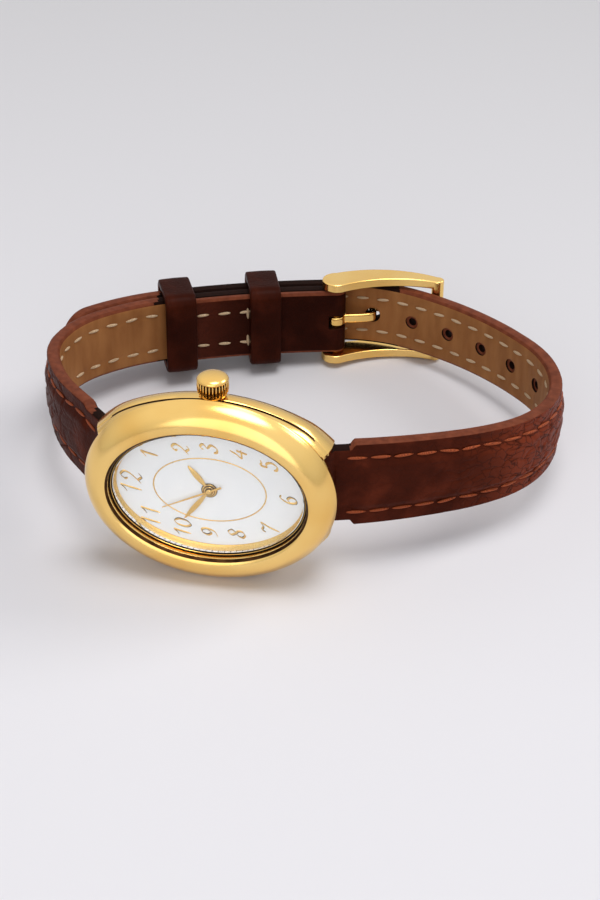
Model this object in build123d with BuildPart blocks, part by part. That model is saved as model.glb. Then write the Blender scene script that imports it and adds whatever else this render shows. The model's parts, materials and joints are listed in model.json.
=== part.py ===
"""Oval quartz dress watch on a buckled leather strap, in millimetres.

The pieces are drawn in the watch's own frame: the dial faces -Y, twelve o'clock lies
towards -X, the crown points along +Z, and the strap loops round +Y. At the end every
piece is stood the way the watch rests on a table, on the bezel and the buckle.
"""

from build123d import *
from math import atan2, cos, degrees, pi, radians, sin, sqrt
import os

# Case, outside
bezel_length, bezel_width = 33.2, 26.8
bezel_opening_length, bezel_opening_width = 26.0, 18.6
bezel_height = 2.3
bezel_round, bezel_back_round = 1.7, 0.4
bezel_lip_width, bezel_lip_drop = 0.9, 1.0
case_length, case_width = 31.8, 25.4
case_front, case_back = 0.7, 5.7
case_back_chamfer = 1.0
lug_gap, lug_shoulder, lug_tip_width = 12.3, 10.0, 1.4
lug_front, lug_back = 1.5, 6.1
lug_reach, lug_round = 1.7, 1.2
pocket_front, pocket_reach = 2.6, 12.3
caseback_thickness, caseback_border, caseback_chamfer = 0.8, 0.9, 0.35
caseback_lip_wall, caseback_lip_height = 0.6, 0.9
caseback_gasket_width, caseback_gasket_height = 0.4, 0.4

# Crystal and dial
crystal_front, crystal_thickness = -1.0, 1.0
crystal_gasket_width, crystal_gasket_height = 0.25, 0.8
dial_ring_height, dial_ring_chamfer = 0.62, 0.3
dial_view_length, dial_view_width = 24.7, 16.8
dial_front, dial_thickness = 0.65, 0.4
dial_recess_depth = 0.45
dial_foot_radius, dial_foot_height = 0.3, 0.8
running_clearance = 0.05
seat_clearance = 0.03

# Movement
cavity_length, cavity_width = 22.4, 19.2
holder_back = 4.7
plate_length, plate_width, plate_thickness = 16.8, 14.0, 1.2
plate_border = 0.1
motion_recess_depth = 0.6
tooth_height = 0.12
gear_thickness = 0.2
arbor_radius = 0.15
bridge_front, bridge_thickness = 3.6, 0.4
bridge_left, bridge_right, bridge_low, bridge_high = -1.5, 5.8, -3.55, 3.7
bridge_round = 0.6
screw_radius, screw_head_radius, screw_head_height = 0.2, 0.42, 0.2
screw_slot_width, screw_slot_depth = 0.12, 0.08
screw_bite = 0.6
post_radius = 0.45
battery_radius, battery_thickness, battery_lift = 2.4, 1.65, 0.1
battery_cap_step, battery_cap_height = 0.35, 0.3
clip_width, clip_thickness, clip_overlap = 1.0, 0.15, 3.0
board_length, board_width, board_thickness = 3.2, 2.7, 0.3
can_radius, can_length = 0.55, 2.6
stator_thickness, stator_bore_radius = 0.4, 0.95
coil_radius, coil_length = 0.65, 4.4
core_width, core_thickness, core_length = 0.5, 0.35, 6.2
stator_low, stator_high, stator_left, stator_right, stator_inner = -3.95, -1.7, -0.6, 5.5, 2.0
stator_strip = 0.35
post_spots = [(-1.0, 3.1), (5.2, -0.9), (-0.9, -3.0)]
battery_spot, board_spot, coil_spot = (-4.7, -2.0), (-4.55, 2.85), (2.45, -4.85)

# Wheels: how far apart their axles stand and at what bearing, then the teeth of each wheel
# and pinion and the depth of the wheel's front face
train_spacing, drive_spacing, motor_spacing = 2.95, 2.65, 1.7
motion_spacing, setting_spacing = 2.75, 2.75
train_bearing, drive_bearing, motor_bearing = 30.0, -57.0, -20.0
motion_bearing, setting_bearing = 124.0, 50.0
second_wheel_teeth, second_pinion_teeth, second_wheel_depth = 60, 8, 3.05
third_wheel_teeth, third_pinion_teeth, third_wheel_depth = 60, 8, 2.75
centre_wheel_teeth, centre_wheel_depth = 64, 2.4
drive_wheel_teeth, drive_pinion_teeth, drive_wheel_depth = 40, 10, 3.3
rotor_pinion_teeth, rotor_radius, rotor_height = 8, 0.75, 0.5
hour_wheel_teeth, hour_wheel_depth = 40, 1.1
minute_pinion_teeth, minute_wheel_teeth, minute_wheel_depth = 10, 36, 1.38
cannon_pinion_teeth, setting_pinion_teeth = 12, 12
setting_disc_radius, setting_disc_teeth = 0.9, 18
gear_gap = 0.06

# Hands
hand_thickness = 0.1
hour_hand_front, minute_hand_front, second_hand_front = 0.45, 0.28, 0.1
hour_hand_length, hour_hand_width = 4.4, 1.0
minute_hand_length, minute_hand_width = 5.7, 0.9
second_hand_length, second_hand_tail, second_hand_width = 7.0, 1.8, 0.2
hour_hand_angle, minute_hand_angle, second_hand_angle = 129.0, 234.0, 207.0
hour_pipe_radius, cannon_radius, dial_hole_radius = 0.7, 0.43, 0.8
hand_rim = 0.35

# Crown
crown_depth = 3.0
crown_radius, crown_skirt_height, crown_dome_height = 2.05, 1.7, 1.15
crown_gap = 0.12
crown_flutes, flute_radius = 28, 0.14
crown_bore_radius, crown_bore_depth = 1.5, 1.35
crown_collar_radius, crown_collar_height = 1.8, 0.35
tube_radius, tube_bore_radius, tube_rise = 1.0, 0.37, 1.15
crown_gasket_lift, crown_gasket_height = 0.1, 0.6
stem_radius, stem_hold = 0.32, 0.6
clutch_radius, clutch_length, clutch_spot = 0.7, 0.8, 5.5
clutch_teeth = 12

# Spring bars
bar_reach, bar_depth = 14.0, 4.7
bar_tube_radius, bar_tube_wall, bar_tube_length = 0.75, 0.33, 10.8
bar_pin_radius, bar_pin_start, bar_pin_end = 0.38, 4.6, 7.3

# Strap leather
strap_width, buckle_end_width, tail_width = 12.0, 10.0, 9.6
lining_thickness, leather_thickness = 0.6, 1.3
padding_thickness, padding_border, padding_start, padding_length = 0.6, 2.4, 4.0, 34.0
nose_radius = 1.5
turn_back_thickness, turn_back_length = 0.9, 24.0
short_strap_length, short_strap_heading = 69.3, 44.0
short_strap_turns = (3.0, 23.0, 62.0, 22.0, 13.0)
short_strap_shares = (0.150, 0.153, 0.182, 0.162, 0.353)
long_strap_heading, long_bend_length = 15.3, 43.3
long_strap_turns = (12.7, 11.4, 62.8, 30.1, 27.5, 33.2)
long_bend_shares = (0.146, 0.376, 0.208, 0.270)
taper_end = 28.0
tail_gap, tail_length, tail_round = 0.45, 39.0, 4.2
hole_radius, hole_pitch, hole_count, tongue_hole = 1.2, 6.2, 7, 6
tongue_hole_offset = 5.6

# Keepers and buckle
keeper_width, keeper_thickness, keeper_clearance = 4.5, 1.1, 0.4
keeper_side_clearance, keeper_round = 0.2, 0.6
fixed_keeper_offset, free_keeper_offset, keeper_travel = 10.7, 23.3, 7.5
buckle_bar_radius = 0.6
slot_width, slot_margin = 2.2, 0.4
rail_width, rail_clearance, rail_bore_share = 1.3, 0.3, 0.65
rail_eye_radius, rail_crest, rail_middle = 2.1, 3.2, 1.9
rail_root_bearing = -70.0
end_bar_radius, end_bar_offset, end_bar_clearance = 0.9, 14.2, 0.15
tongue_thickness, tongue_width = 0.7, 1.4
tongue_under, tongue_over, tongue_overhang = 0.6, 0.35, 1.2
tongue_rest_clearance = 0.1

overrun = 5.0
rest_tilt = -7.7

strap_thickness = lining_thickness + leather_thickness
dial_back = dial_front + dial_thickness
plate_back = dial_back + plate_thickness
bridge_back = bridge_front + bridge_thickness
lug_tip = bar_reach + lug_reach
lug_shoulder_width = case_width / 2 * sqrt(1 - (2 * lug_shoulder / case_length) ** 2)
crystal_length = bezel_opening_length - 2 * crystal_gasket_width
crystal_width = bezel_opening_width - 2 * crystal_gasket_width
caseback_length = cavity_length + 2 * caseback_border
caseback_width = cavity_width + 2 * caseback_border
crown_base = case_width / 2 + crown_gap
pieces = {}


def keep(piece, name):
    """Label a finished piece and remember it under its node's name."""
    piece.part.label = name
    pieces[name] = piece.part


def slab(front, thickness=0):
    """The plane across the watch at the back of a layer, which is extruded towards the dial."""
    return Plane(origin=(0, front + thickness, 0), x_dir=(1, 0, 0), z_dir=(0, -1, 0))


def oval(length, width, mode=Mode.ADD):
    """The case's plan form."""
    return Ellipse(length / 2, width / 2, mode=mode)


def ring_layer(front, thickness, outer, inner):
    """A flat oval ring, added to the open part."""
    with BuildSketch(slab(front, thickness)) as ring:
        oval(*outer)
        oval(*inner, mode=Mode.SUBTRACT)
    extrude(ring.sketch, amount=thickness)


def disc(spot_, front, thickness, radius, mode=Mode.ADD):
    """A round disc square to the dial, added to or cut from the open part."""
    with BuildSketch(slab(front, thickness)) as outline:
        with Locations(spot_):
            Circle(radius)
    extrude(outline.sketch, amount=thickness, mode=mode)


def off(bearing, distance, start=(0, 0)):
    """A point at a bearing and distance from another, in the dial's plane."""
    return (
        start[0] + distance * cos(radians(bearing)),
        start[1] + distance * sin(radians(bearing)),
    )


# Strap lines: each is a row of tangent arcs, walked from its spring bar


def walk(start, heading, lengths, turns):
    """Where a row of arcs ends, and its heading there."""
    (x, y), bearing = start, heading
    for length, turn in zip(lengths, turns):
        radius = length / radians(turn)
        x += radius * (sin(radians(bearing + turn)) - sin(radians(bearing)))
        y += radius * (cos(radians(bearing)) - cos(radians(bearing + turn)))
        bearing += turn
    return (x, y), bearing


def stretch(line, first, last):
    """The arcs of a line between two lengths along it, as their lengths and turns."""
    lengths, turns, done = [], [], 0
    for length, turn in zip(line[2], line[3]):
        inside = min(last, done + length) - max(first, done)
        if inside > 0:
            lengths.append(inside)
            turns.append(turn * inside / length)
        done += length
    return lengths, turns


def spot(line, along, depth=0):
    """The point and heading at a length along a line, at a depth outside the lining."""
    (x, y), bearing = walk(line[0], line[1], *stretch(line, 0, along))
    return (x + depth * sin(radians(bearing)), y - depth * cos(radians(bearing))), bearing


def strap_start(heading):
    """Where the lining's inner face begins, half a strap inside the spring bar."""
    return (
        bar_reach - strap_thickness / 2 * sin(radians(heading)),
        bar_depth + strap_thickness / 2 * cos(radians(heading)),
    )


def short_line():
    """The twelve o'clock strap's line, in a plan whose x runs towards twelve."""
    lengths = [short_strap_length * share for share in short_strap_shares]
    return strap_start(short_strap_heading), short_strap_heading, lengths, short_strap_turns


def long_line(short):
    """The six o'clock strap's line. Two of its arcs are as long as it takes to meet the
    short strap's end, and from there it lies along that strap's outside."""
    side = strap_thickness + tail_gap
    end, bearing = spot(short, short_strap_length, side)
    start = strap_start(long_strap_heading)
    turns = [*long_strap_turns[:-1], 360 - bearing - long_strap_heading - sum(long_strap_turns[:-1])]
    headings = [long_strap_heading + sum(turns[:n]) for n in range(len(turns))]
    steps = [walk((0, 0), h, [1], [t])[0] for h, t in zip(headings, turns)]
    bends = [long_bend_length * share for share in long_bend_shares]
    lengths = [0, *bends[:3], 0, bends[3]]
    way = (-end[0] - start[0], end[1] - start[1])
    left = [way[k] - sum(n * step[k] for n, step in zip(lengths, steps)) for k in (0, 1)]
    front, back = steps[0], steps[4]
    spread = front[0] * back[1] - front[1] * back[0]
    lengths[0] = (left[0] * back[1] - left[1] * back[0]) / spread
    lengths[4] = (front[0] * left[1] - front[1] * left[0]) / spread
    landing = sum(lengths)
    tail = stretch(short, short_strap_length - tail_length, short_strap_length)
    tail_lengths = [n + side * radians(t) for n, t in zip(*tail)][::-1]
    line = start, long_strap_heading, [*lengths, *tail_lengths], [*turns, *tail[1][::-1]]
    return line, landing


short_path = short_line()
long_path, landing = long_line(short_path)
long_end = sum(long_path[2])
long_plan = Plane.XY
short_plan = Plane(origin=(0, 0, 0), x_dir=(-1, 0, 0), z_dir=(0, 0, -1))

fold_centre_depth = (strap_thickness - turn_back_thickness) / 2
fold_radius = (strap_thickness + turn_back_thickness) / 2
buckle_bar = spot(short_path, short_strap_length, fold_centre_depth)[0]
buckle_bar_x, buckle_bar_y = -buckle_bar[0], buckle_bar[1]
end_bar = spot(
    long_path, landing - end_bar_offset, strap_thickness + end_bar_clearance + end_bar_radius
)[0]
tongue_along = landing - tongue_hole_offset


def line_edges(path, first, last, depth):
    """A strap line at a depth, drawn into the open BuildLine: its first and last points."""
    point, bearing = spot(path, first, depth)
    begin = point
    for length, turn in zip(*stretch(path, first, last)):
        tangent = (cos(radians(bearing)), sin(radians(bearing)))
        JernArc(point, tangent, length / radians(turn) + depth, turn)
        bearing += turn
        first += length
        point = spot(path, first, depth)[0]
    return begin, point


def band(path, first, last, inner, outer):
    """The plan of one layer of a strap, between two depths, drawn into the open sketch."""
    with BuildLine() as outline:
        inside = line_edges(path, first, last, inner)
        outside = line_edges(path, first, last, outer)
        Line(inside[0], outside[0])
        Line(inside[1], outside[1])
    make_face(outline.line.edges())


def circle_at(point, radius, mode=Mode.ADD):
    """A circle in the open sketch."""
    with Locations(point):
        Circle(radius, mode=mode)


def taper(end_width):
    """Trim the open part to the strap's width, which narrows away from the case."""
    wide, narrow, back = strap_width / 2, end_width / 2, 2 * taper_end + overrun
    near = bar_depth - nose_radius - overrun
    with BuildSketch(Plane.YZ) as width:
        Polygon(
            (near, wide), (bar_depth, wide), (taper_end, narrow), (back, narrow),
            (back, -narrow), (taper_end, -narrow), (bar_depth, -wide), (near, -wide),
            align=None,
        )
    extrude(width.sketch, amount=case_length + long_bend_length, both=True, mode=Mode.INTERSECT)


# Case


def make_case_middle():
    with BuildPart() as case_middle:
        with BuildSketch(slab(case_back)):
            oval(case_length, case_width)
        extrude(amount=case_back - case_front)
        chamfer(case_middle.faces().sort_by(Axis.Y)[-1].edges(), case_back_chamfer)
        with BuildSketch(Plane.XY.offset(lug_gap / 2)):
            with BuildLine():
                FilletPolyline(
                    (lug_shoulder, lug_front), (lug_tip, lug_front), (lug_tip, lug_back),
                    (lug_shoulder, lug_back), radius=lug_round,
                )
                Line((lug_shoulder, lug_back), (lug_shoulder, lug_front))
            make_face()
        extrude(amount=case_width / 2 - lug_gap / 2)
        with BuildSketch(slab(case_back + overrun)):
            Polygon(
                (lug_shoulder, lug_shoulder_width), (lug_tip, lug_gap / 2 + lug_tip_width),
                (lug_tip + overrun, lug_gap / 2 + lug_tip_width),
                (lug_tip + overrun, case_width), (lug_shoulder, case_width), align=None,
            )
        extrude(amount=case_back + 2 * overrun, mode=Mode.SUBTRACT)
        mirror(about=Plane.XY)
        mirror(about=Plane.YZ)
        strap_pocket_width = case_length / 2 - pocket_reach + overrun
        with BuildSketch(slab(case_back + overrun)):
            with Locations(*[(side * (pocket_reach + strap_pocket_width / 2), 0) for side in (1, -1)]):
                Rectangle(strap_pocket_width, lug_gap)
        extrude(amount=case_back + overrun - pocket_front, mode=Mode.SUBTRACT)
        with BuildSketch(slab(case_back)):
            oval(cavity_length, cavity_width)
        extrude(amount=case_back - case_front, mode=Mode.SUBTRACT)
        with BuildSketch(slab(case_front, dial_recess_depth)):
            oval(bezel_opening_length, bezel_opening_width)
        extrude(amount=dial_recess_depth, mode=Mode.SUBTRACT)
        with BuildSketch(slab(case_back)):
            oval(cavity_length + 2 * caseback_gasket_width, cavity_width + 2 * caseback_gasket_width)
        extrude(amount=caseback_gasket_height, mode=Mode.SUBTRACT)
        with BuildSketch(slab(case_back + overrun)):
            oval(caseback_length + 2 * seat_clearance, caseback_width + 2 * seat_clearance)
        extrude(amount=overrun, mode=Mode.SUBTRACT)
        with BuildSketch(Plane.XY):
            for side in (1, -1):
                circle_at((side * bar_reach, bar_depth), bar_pin_radius + running_clearance)
        extrude(amount=bar_pin_end + running_clearance, both=True, mode=Mode.SUBTRACT)
        with BuildSketch(Plane.XY):
            circle_at((0, crown_depth), tube_radius + seat_clearance)
        extrude(amount=case_width, mode=Mode.SUBTRACT)
    keep(case_middle, "case_middle")


def make_bezel():
    with BuildPart() as bezel:
        with BuildSketch(slab(case_front)):
            oval(bezel_length, bezel_width)
        extrude(amount=case_front + bezel_height)
        fillet(bezel.faces().sort_by(Axis.Y)[0].edges(), bezel_round)
        fillet(bezel.faces().sort_by(Axis.Y)[-1].edges(), bezel_back_round)
        with BuildSketch(slab(case_front)):
            oval(bezel_opening_length, bezel_opening_width)
        extrude(amount=case_front + bezel_height, mode=Mode.SUBTRACT)
        with BuildSketch(slab(bezel_lip_drop - bezel_height)):
            oval(bezel_opening_length, bezel_opening_width)
        with BuildSketch(slab(-bezel_height)):
            oval(bezel_opening_length + 2 * bezel_lip_width, bezel_opening_width + 2 * bezel_lip_width)
        loft(ruled=True, mode=Mode.SUBTRACT)
    keep(bezel, "bezel")


def make_crystal():
    with BuildPart() as crystal:
        with BuildSketch(slab(crystal_front, crystal_thickness)):
            oval(crystal_length, crystal_width)
        extrude(amount=crystal_thickness)
    keep(crystal, "crystal")
    with BuildPart() as crystal_gasket:
        ring_layer(
            crystal_front + crystal_thickness - crystal_gasket_height, crystal_gasket_height,
            (bezel_opening_length - seat_clearance, bezel_opening_width - seat_clearance),
            (crystal_length + seat_clearance, crystal_width + seat_clearance),
        )
    keep(crystal_gasket, "crystal_gasket")


def make_dial_ring():
    front = crystal_front + crystal_thickness
    with BuildPart() as dial_ring:
        ring_layer(
            front, dial_ring_height,
            (bezel_opening_length - 2 * seat_clearance, bezel_opening_width - 2 * seat_clearance),
            (dial_view_length, dial_view_width),
        )
        rim = dial_ring.faces().sort_by(Axis.Y)[0].edges().sort_by(SortBy.LENGTH)[0]
        chamfer(rim, dial_ring_chamfer)
    keep(dial_ring, "dial_ring")


def foot_spots():
    """The dial's two feet, midway between the movement's plate and the case."""
    reach = (plate_length + cavity_length) / 4
    return [(reach, 0), (-reach, 0)]


def make_dial():
    with BuildPart() as dial:
        with BuildSketch(slab(dial_front, dial_thickness)):
            oval(bezel_opening_length - 4 * seat_clearance, bezel_opening_width - 4 * seat_clearance)
            Circle(dial_hole_radius, mode=Mode.SUBTRACT)
        extrude(amount=dial_thickness)
        for foot in foot_spots():
            disc(foot, dial_back, dial_foot_height, dial_foot_radius)
    keep(dial, "dial")


def make_caseback():
    with BuildPart() as caseback:
        with BuildSketch(slab(case_back, caseback_thickness)):
            oval(caseback_length, caseback_width)
        extrude(amount=caseback_thickness)
        chamfer(caseback.faces().sort_by(Axis.Y)[-1].edges(), caseback_chamfer)
        ring_layer(
            case_back - caseback_lip_height, caseback_lip_height,
            (cavity_length - 2 * seat_clearance, cavity_width - 2 * seat_clearance),
            (cavity_length - 2 * caseback_lip_wall, cavity_width - 2 * caseback_lip_wall),
        )
    keep(caseback, "caseback")
    with BuildPart() as caseback_gasket:
        spread = 2 * caseback_gasket_width - 2 * seat_clearance
        ring_layer(
            case_back - caseback_gasket_height, caseback_gasket_height,
            (cavity_length + spread, cavity_width + spread),
            (cavity_length, cavity_width),
        )
    keep(caseback_gasket, "caseback_gasket")


def make_spring_bars():
    with BuildPart() as spring_bar_tubes:
        with BuildSketch(Plane.XY):
            for side in (1, -1):
                circle_at((side * bar_reach, bar_depth), bar_tube_radius)
                circle_at((side * bar_reach, bar_depth), bar_tube_radius - bar_tube_wall, Mode.SUBTRACT)
        extrude(amount=bar_tube_length / 2, both=True)
    keep(spring_bar_tubes, "spring_bar_tubes")
    with BuildPart() as spring_bar_pins:
        with BuildSketch(Plane.XY.offset(bar_pin_start)):
            for side in (1, -1):
                circle_at((side * bar_reach, bar_depth), bar_pin_radius)
        extrude(amount=bar_pin_end - bar_pin_start)
        mirror(about=Plane.XY)
    keep(spring_bar_pins, "spring_bar_pins")


# Movement


def gear_radius(teeth, mate_teeth, spacing):
    """A wheel's outer radius, its share of the distance to the wheel that it works with."""
    return (spacing - gear_gap) * teeth / (teeth + mate_teeth)


def gear(spot_, front, thickness, radius, teeth):
    """A toothed disc, added to the open part."""
    with BuildSketch(slab(front, thickness)) as wheel:
        with Locations(spot_):
            Circle(radius - tooth_height)
            with PolarLocations(radius - tooth_height, teeth):
                Rectangle(2 * tooth_height, pi * radius / teeth)
    extrude(wheel.sketch, amount=thickness)


def bore(spot_, radius):
    """A hole through the open part, square to the dial."""
    disc(spot_, -overrun, 2 * overrun, radius, Mode.SUBTRACT)


third_spot = off(train_bearing, train_spacing)
drive_spot = off(drive_bearing, drive_spacing)
rotor_spot = off(motor_bearing, motor_spacing, drive_spot)
minute_spot = off(motion_bearing, motion_spacing)
setting_spot = off(setting_bearing, setting_spacing, minute_spot)
hour_wheel_radius = gear_radius(hour_wheel_teeth, minute_pinion_teeth, motion_spacing)
minute_wheel_radius = gear_radius(minute_wheel_teeth, cannon_pinion_teeth, motion_spacing)
setting_pinion_radius = gear_radius(setting_pinion_teeth, minute_wheel_teeth, setting_spacing)
pivot_hole_radius = arbor_radius + running_clearance
pivot_front = plate_back - screw_bite
pivot_back = bridge_front + bridge_thickness / 2


def make_main_plate():
    with BuildPart() as main_plate:
        with BuildSketch(slab(dial_back, plate_thickness)):
            oval(plate_length, plate_width)
        extrude(amount=plate_thickness)
        for place, radius in (
            ((0, 0), hour_wheel_radius),
            (minute_spot, minute_wheel_radius),
            (setting_spot, setting_pinion_radius),
        ):
            disc(place, dial_back, motion_recess_depth, radius + gear_gap, Mode.SUBTRACT)
        bore((0, 0), cannon_radius + running_clearance)
        bore(setting_spot, pivot_hole_radius)
        for place in (minute_spot, third_spot, drive_spot, rotor_spot):
            disc(place, pivot_front, screw_bite, pivot_hole_radius, Mode.SUBTRACT)
        for place in post_spots:
            disc(place, pivot_front, screw_bite, screw_radius + seat_clearance, Mode.SUBTRACT)
    keep(main_plate, "main_plate")


def make_movement_holder():
    depth = holder_back - dial_back
    with BuildPart() as movement_holder:
        ring_layer(
            dial_back, depth,
            (cavity_length - 2 * plate_border, cavity_width - 2 * plate_border),
            (plate_length + 2 * plate_border, plate_width + 2 * plate_border),
        )
        for foot in foot_spots():
            disc(foot, dial_back, dial_foot_height + seat_clearance, dial_foot_radius + seat_clearance,
                 Mode.SUBTRACT)
        with BuildSketch(Plane.XY):
            circle_at((0, crown_depth), stem_radius + 2 * running_clearance)
        extrude(amount=case_width, mode=Mode.SUBTRACT)
    keep(movement_holder, "movement_holder")


def make_train_bridge():
    with BuildPart() as train_bridge:
        with BuildSketch(slab(bridge_front, bridge_thickness)):
            with BuildLine():
                FilletPolyline(
                    (bridge_left, bridge_low), (bridge_right, bridge_low),
                    (bridge_right, bridge_high), (bridge_left, bridge_high),
                    radius=bridge_round, close=True,
                )
            make_face()
        extrude(amount=bridge_thickness)
        for place in post_spots:
            disc(place, plate_back, bridge_front - plate_back, post_radius)
            disc(place, plate_back, bridge_back - plate_back, screw_radius + seat_clearance,
                 Mode.SUBTRACT)
        for place in ((0, 0), third_spot, drive_spot, rotor_spot):
            disc(place, bridge_front, bridge_thickness / 2 + seat_clearance, pivot_hole_radius,
                 Mode.SUBTRACT)
    keep(train_bridge, "train_bridge")
    with BuildPart() as bridge_screws:
        for place in post_spots:
            disc(place, bridge_back, screw_head_height, screw_head_radius)
            disc(place, plate_back - screw_bite + seat_clearance,
                 bridge_back - plate_back + screw_bite - seat_clearance, screw_radius)
            with BuildSketch(slab(bridge_back + screw_head_height)):
                with Locations(place):
                    Rectangle(2 * screw_head_radius, screw_slot_width)
            extrude(amount=screw_slot_depth, mode=Mode.SUBTRACT)
    keep(bridge_screws, "bridge_screws")


def make_power():
    top = plate_back + battery_lift
    with BuildPart() as battery:
        disc(battery_spot, top, battery_thickness, battery_radius)
        edges = battery.faces().sort_by(Axis.Y)[0].edges()
        chamfer(edges, battery_cap_height, battery_cap_step)
    keep(battery, "battery")
    x, z = battery_spot
    low = z - battery_radius - battery_cap_step - clip_thickness
    with BuildPart() as battery_clip:
        with BuildSketch(Plane.YZ.offset(x - clip_width / 2)):
            with BuildLine():
                above = top + battery_thickness
                Polyline(
                    (plate_back, low), (above + clip_thickness, low),
                    (above + clip_thickness, low + clip_overlap), (above, low + clip_overlap),
                    (above, low + clip_thickness), (plate_back, low + clip_thickness), close=True,
                )
            make_face()
        extrude(amount=clip_width)
    keep(battery_clip, "battery_clip")


def make_electronics():
    with BuildPart() as circuit_board:
        with BuildSketch(slab(plate_back, board_thickness)):
            with Locations(board_spot):
                Rectangle(board_length, board_width)
        extrude(amount=board_thickness)
    keep(circuit_board, "circuit_board")
    with BuildPart() as quartz_can:
        x, z = board_spot
        start = Plane(
            origin=(x - can_length / 2, plate_back + board_thickness + can_radius, z),
            x_dir=(0, 0, 1), z_dir=(1, 0, 0),
        )
        with BuildSketch(start):
            Circle(can_radius)
        extrude(amount=can_length)
    keep(quartz_can, "quartz_can")


def make_motor():
    front = plate_back + battery_lift
    x, z = coil_spot
    with BuildPart() as stator:
        with BuildSketch(slab(front, stator_thickness)):
            with BuildLine():
                Polyline(
                    (stator_inner, stator_high), (stator_right, stator_high),
                    (stator_right, z - core_width / 2), (stator_right - core_width, z - core_width / 2),
                    (stator_right - core_width, stator_low), (stator_left + core_width, stator_low),
                    (stator_left + core_width, z - core_width / 2), (stator_left, z - core_width / 2),
                    (stator_left, stator_low + stator_strip), (stator_inner, stator_low + stator_strip),
                    close=True,
                )
            make_face()
            with Locations(rotor_spot):
                Circle(stator_bore_radius, mode=Mode.SUBTRACT)
        extrude(amount=stator_thickness)
    keep(stator, "stator")
    core_front = front + stator_thickness
    with BuildPart() as coil_core:
        with BuildSketch(slab(core_front, core_thickness)):
            with Locations(coil_spot):
                Rectangle(core_length, core_width)
        extrude(amount=core_thickness)
    keep(coil_core, "coil_core")
    middle = core_front + core_thickness / 2
    with BuildPart() as coil_winding:
        end = Plane(origin=(x - coil_length / 2, middle, z), x_dir=(0, 0, 1), z_dir=(1, 0, 0))
        with BuildSketch(end):
            Circle(coil_radius)
            Rectangle(core_width, core_thickness, mode=Mode.SUBTRACT)
        extrude(amount=coil_length)
    keep(coil_winding, "coil_winding")


def make_arbor(place, front, back):
    """A wheel's arbor, added to the open part."""
    disc(place, front, back - front, arbor_radius)


def make_train():
    drive_pinion = gear_radius(drive_pinion_teeth, second_wheel_teeth, drive_spacing)
    second_wheel = gear_radius(second_wheel_teeth, drive_pinion_teeth, drive_spacing)
    second_pinion = gear_radius(second_pinion_teeth, third_wheel_teeth, train_spacing)
    third_wheel = gear_radius(third_wheel_teeth, second_pinion_teeth, train_spacing)
    third_pinion = gear_radius(third_pinion_teeth, centre_wheel_teeth, train_spacing)
    centre_wheel_radius = gear_radius(centre_wheel_teeth, third_pinion_teeth, train_spacing)
    drive_wheel = gear_radius(drive_wheel_teeth, rotor_pinion_teeth, motor_spacing)
    rotor_pinion = gear_radius(rotor_pinion_teeth, drive_wheel_teeth, motor_spacing)
    start, stop = pivot_front + seat_clearance, pivot_back
    with BuildPart() as second_wheel_and_arbor:
        gear((0, 0), second_wheel_depth, gear_thickness, second_wheel, second_wheel_teeth)
        gear((0, 0), third_wheel_depth, gear_thickness, second_pinion, second_pinion_teeth)
        make_arbor((0, 0), second_hand_front, stop)
    keep(second_wheel_and_arbor, "second_wheel")
    with BuildPart() as third:
        gear(third_spot, third_wheel_depth, gear_thickness, third_wheel, third_wheel_teeth)
        gear(third_spot, centre_wheel_depth, third_wheel_depth - centre_wheel_depth, third_pinion,
             third_pinion_teeth)
        make_arbor(third_spot, start, stop)
    keep(third, "third_wheel")
    with BuildPart() as centre_wheel:
        gear((0, 0), centre_wheel_depth, gear_thickness, centre_wheel_radius, centre_wheel_teeth)
        bore((0, 0), arbor_radius + running_clearance)
    keep(centre_wheel, "centre_wheel")
    with BuildPart() as drive:
        gear(drive_spot, drive_wheel_depth, gear_thickness, drive_wheel, drive_wheel_teeth)
        gear(drive_spot, second_wheel_depth, drive_wheel_depth - second_wheel_depth, drive_pinion,
             drive_pinion_teeth)
        make_arbor(drive_spot, start, stop)
    keep(drive, "intermediate_wheel")
    with BuildPart() as rotor:
        disc(rotor_spot, plate_back + running_clearance, rotor_height, rotor_radius)
        gear(rotor_spot, drive_wheel_depth, gear_thickness, rotor_pinion, rotor_pinion_teeth)
        make_arbor(rotor_spot, start, stop)
    keep(rotor, "rotor")


# Hands and motion work


def leaf(angle, length, width, root):
    """A leaf-shaped blade from the hub to the tip, added to the open sketch."""
    across = angle + 90
    middle = off(angle, (root + length) / 2)
    begin, end = off(angle, root), off(angle, length)
    with BuildLine() as blade:
        ThreePointArc(begin, off(across, width / 2, middle), end)
        ThreePointArc(begin, off(across, -width / 2, middle), end)
    make_face(blade.line.edges())


def make_hour_hand():
    bore_radius = cannon_radius + running_clearance
    with BuildPart() as hour_wheel:
        gear((0, 0), hour_wheel_depth, gear_thickness, hour_wheel_radius, hour_wheel_teeth)
        disc((0, 0), hour_hand_front, hour_wheel_depth - hour_hand_front, hour_pipe_radius)
        bore((0, 0), bore_radius)
    keep(hour_wheel, "hour_wheel")
    with BuildPart() as hour_hand:
        with BuildSketch(slab(hour_hand_front, hand_thickness)):
            Circle(hour_pipe_radius + hand_rim)
            leaf(hour_hand_angle, hour_hand_length, hour_hand_width, hour_pipe_radius)
            Circle(hour_pipe_radius + seat_clearance / 2, mode=Mode.SUBTRACT)
        extrude(amount=hand_thickness)
    keep(hour_hand, "hour_hand")


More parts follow.
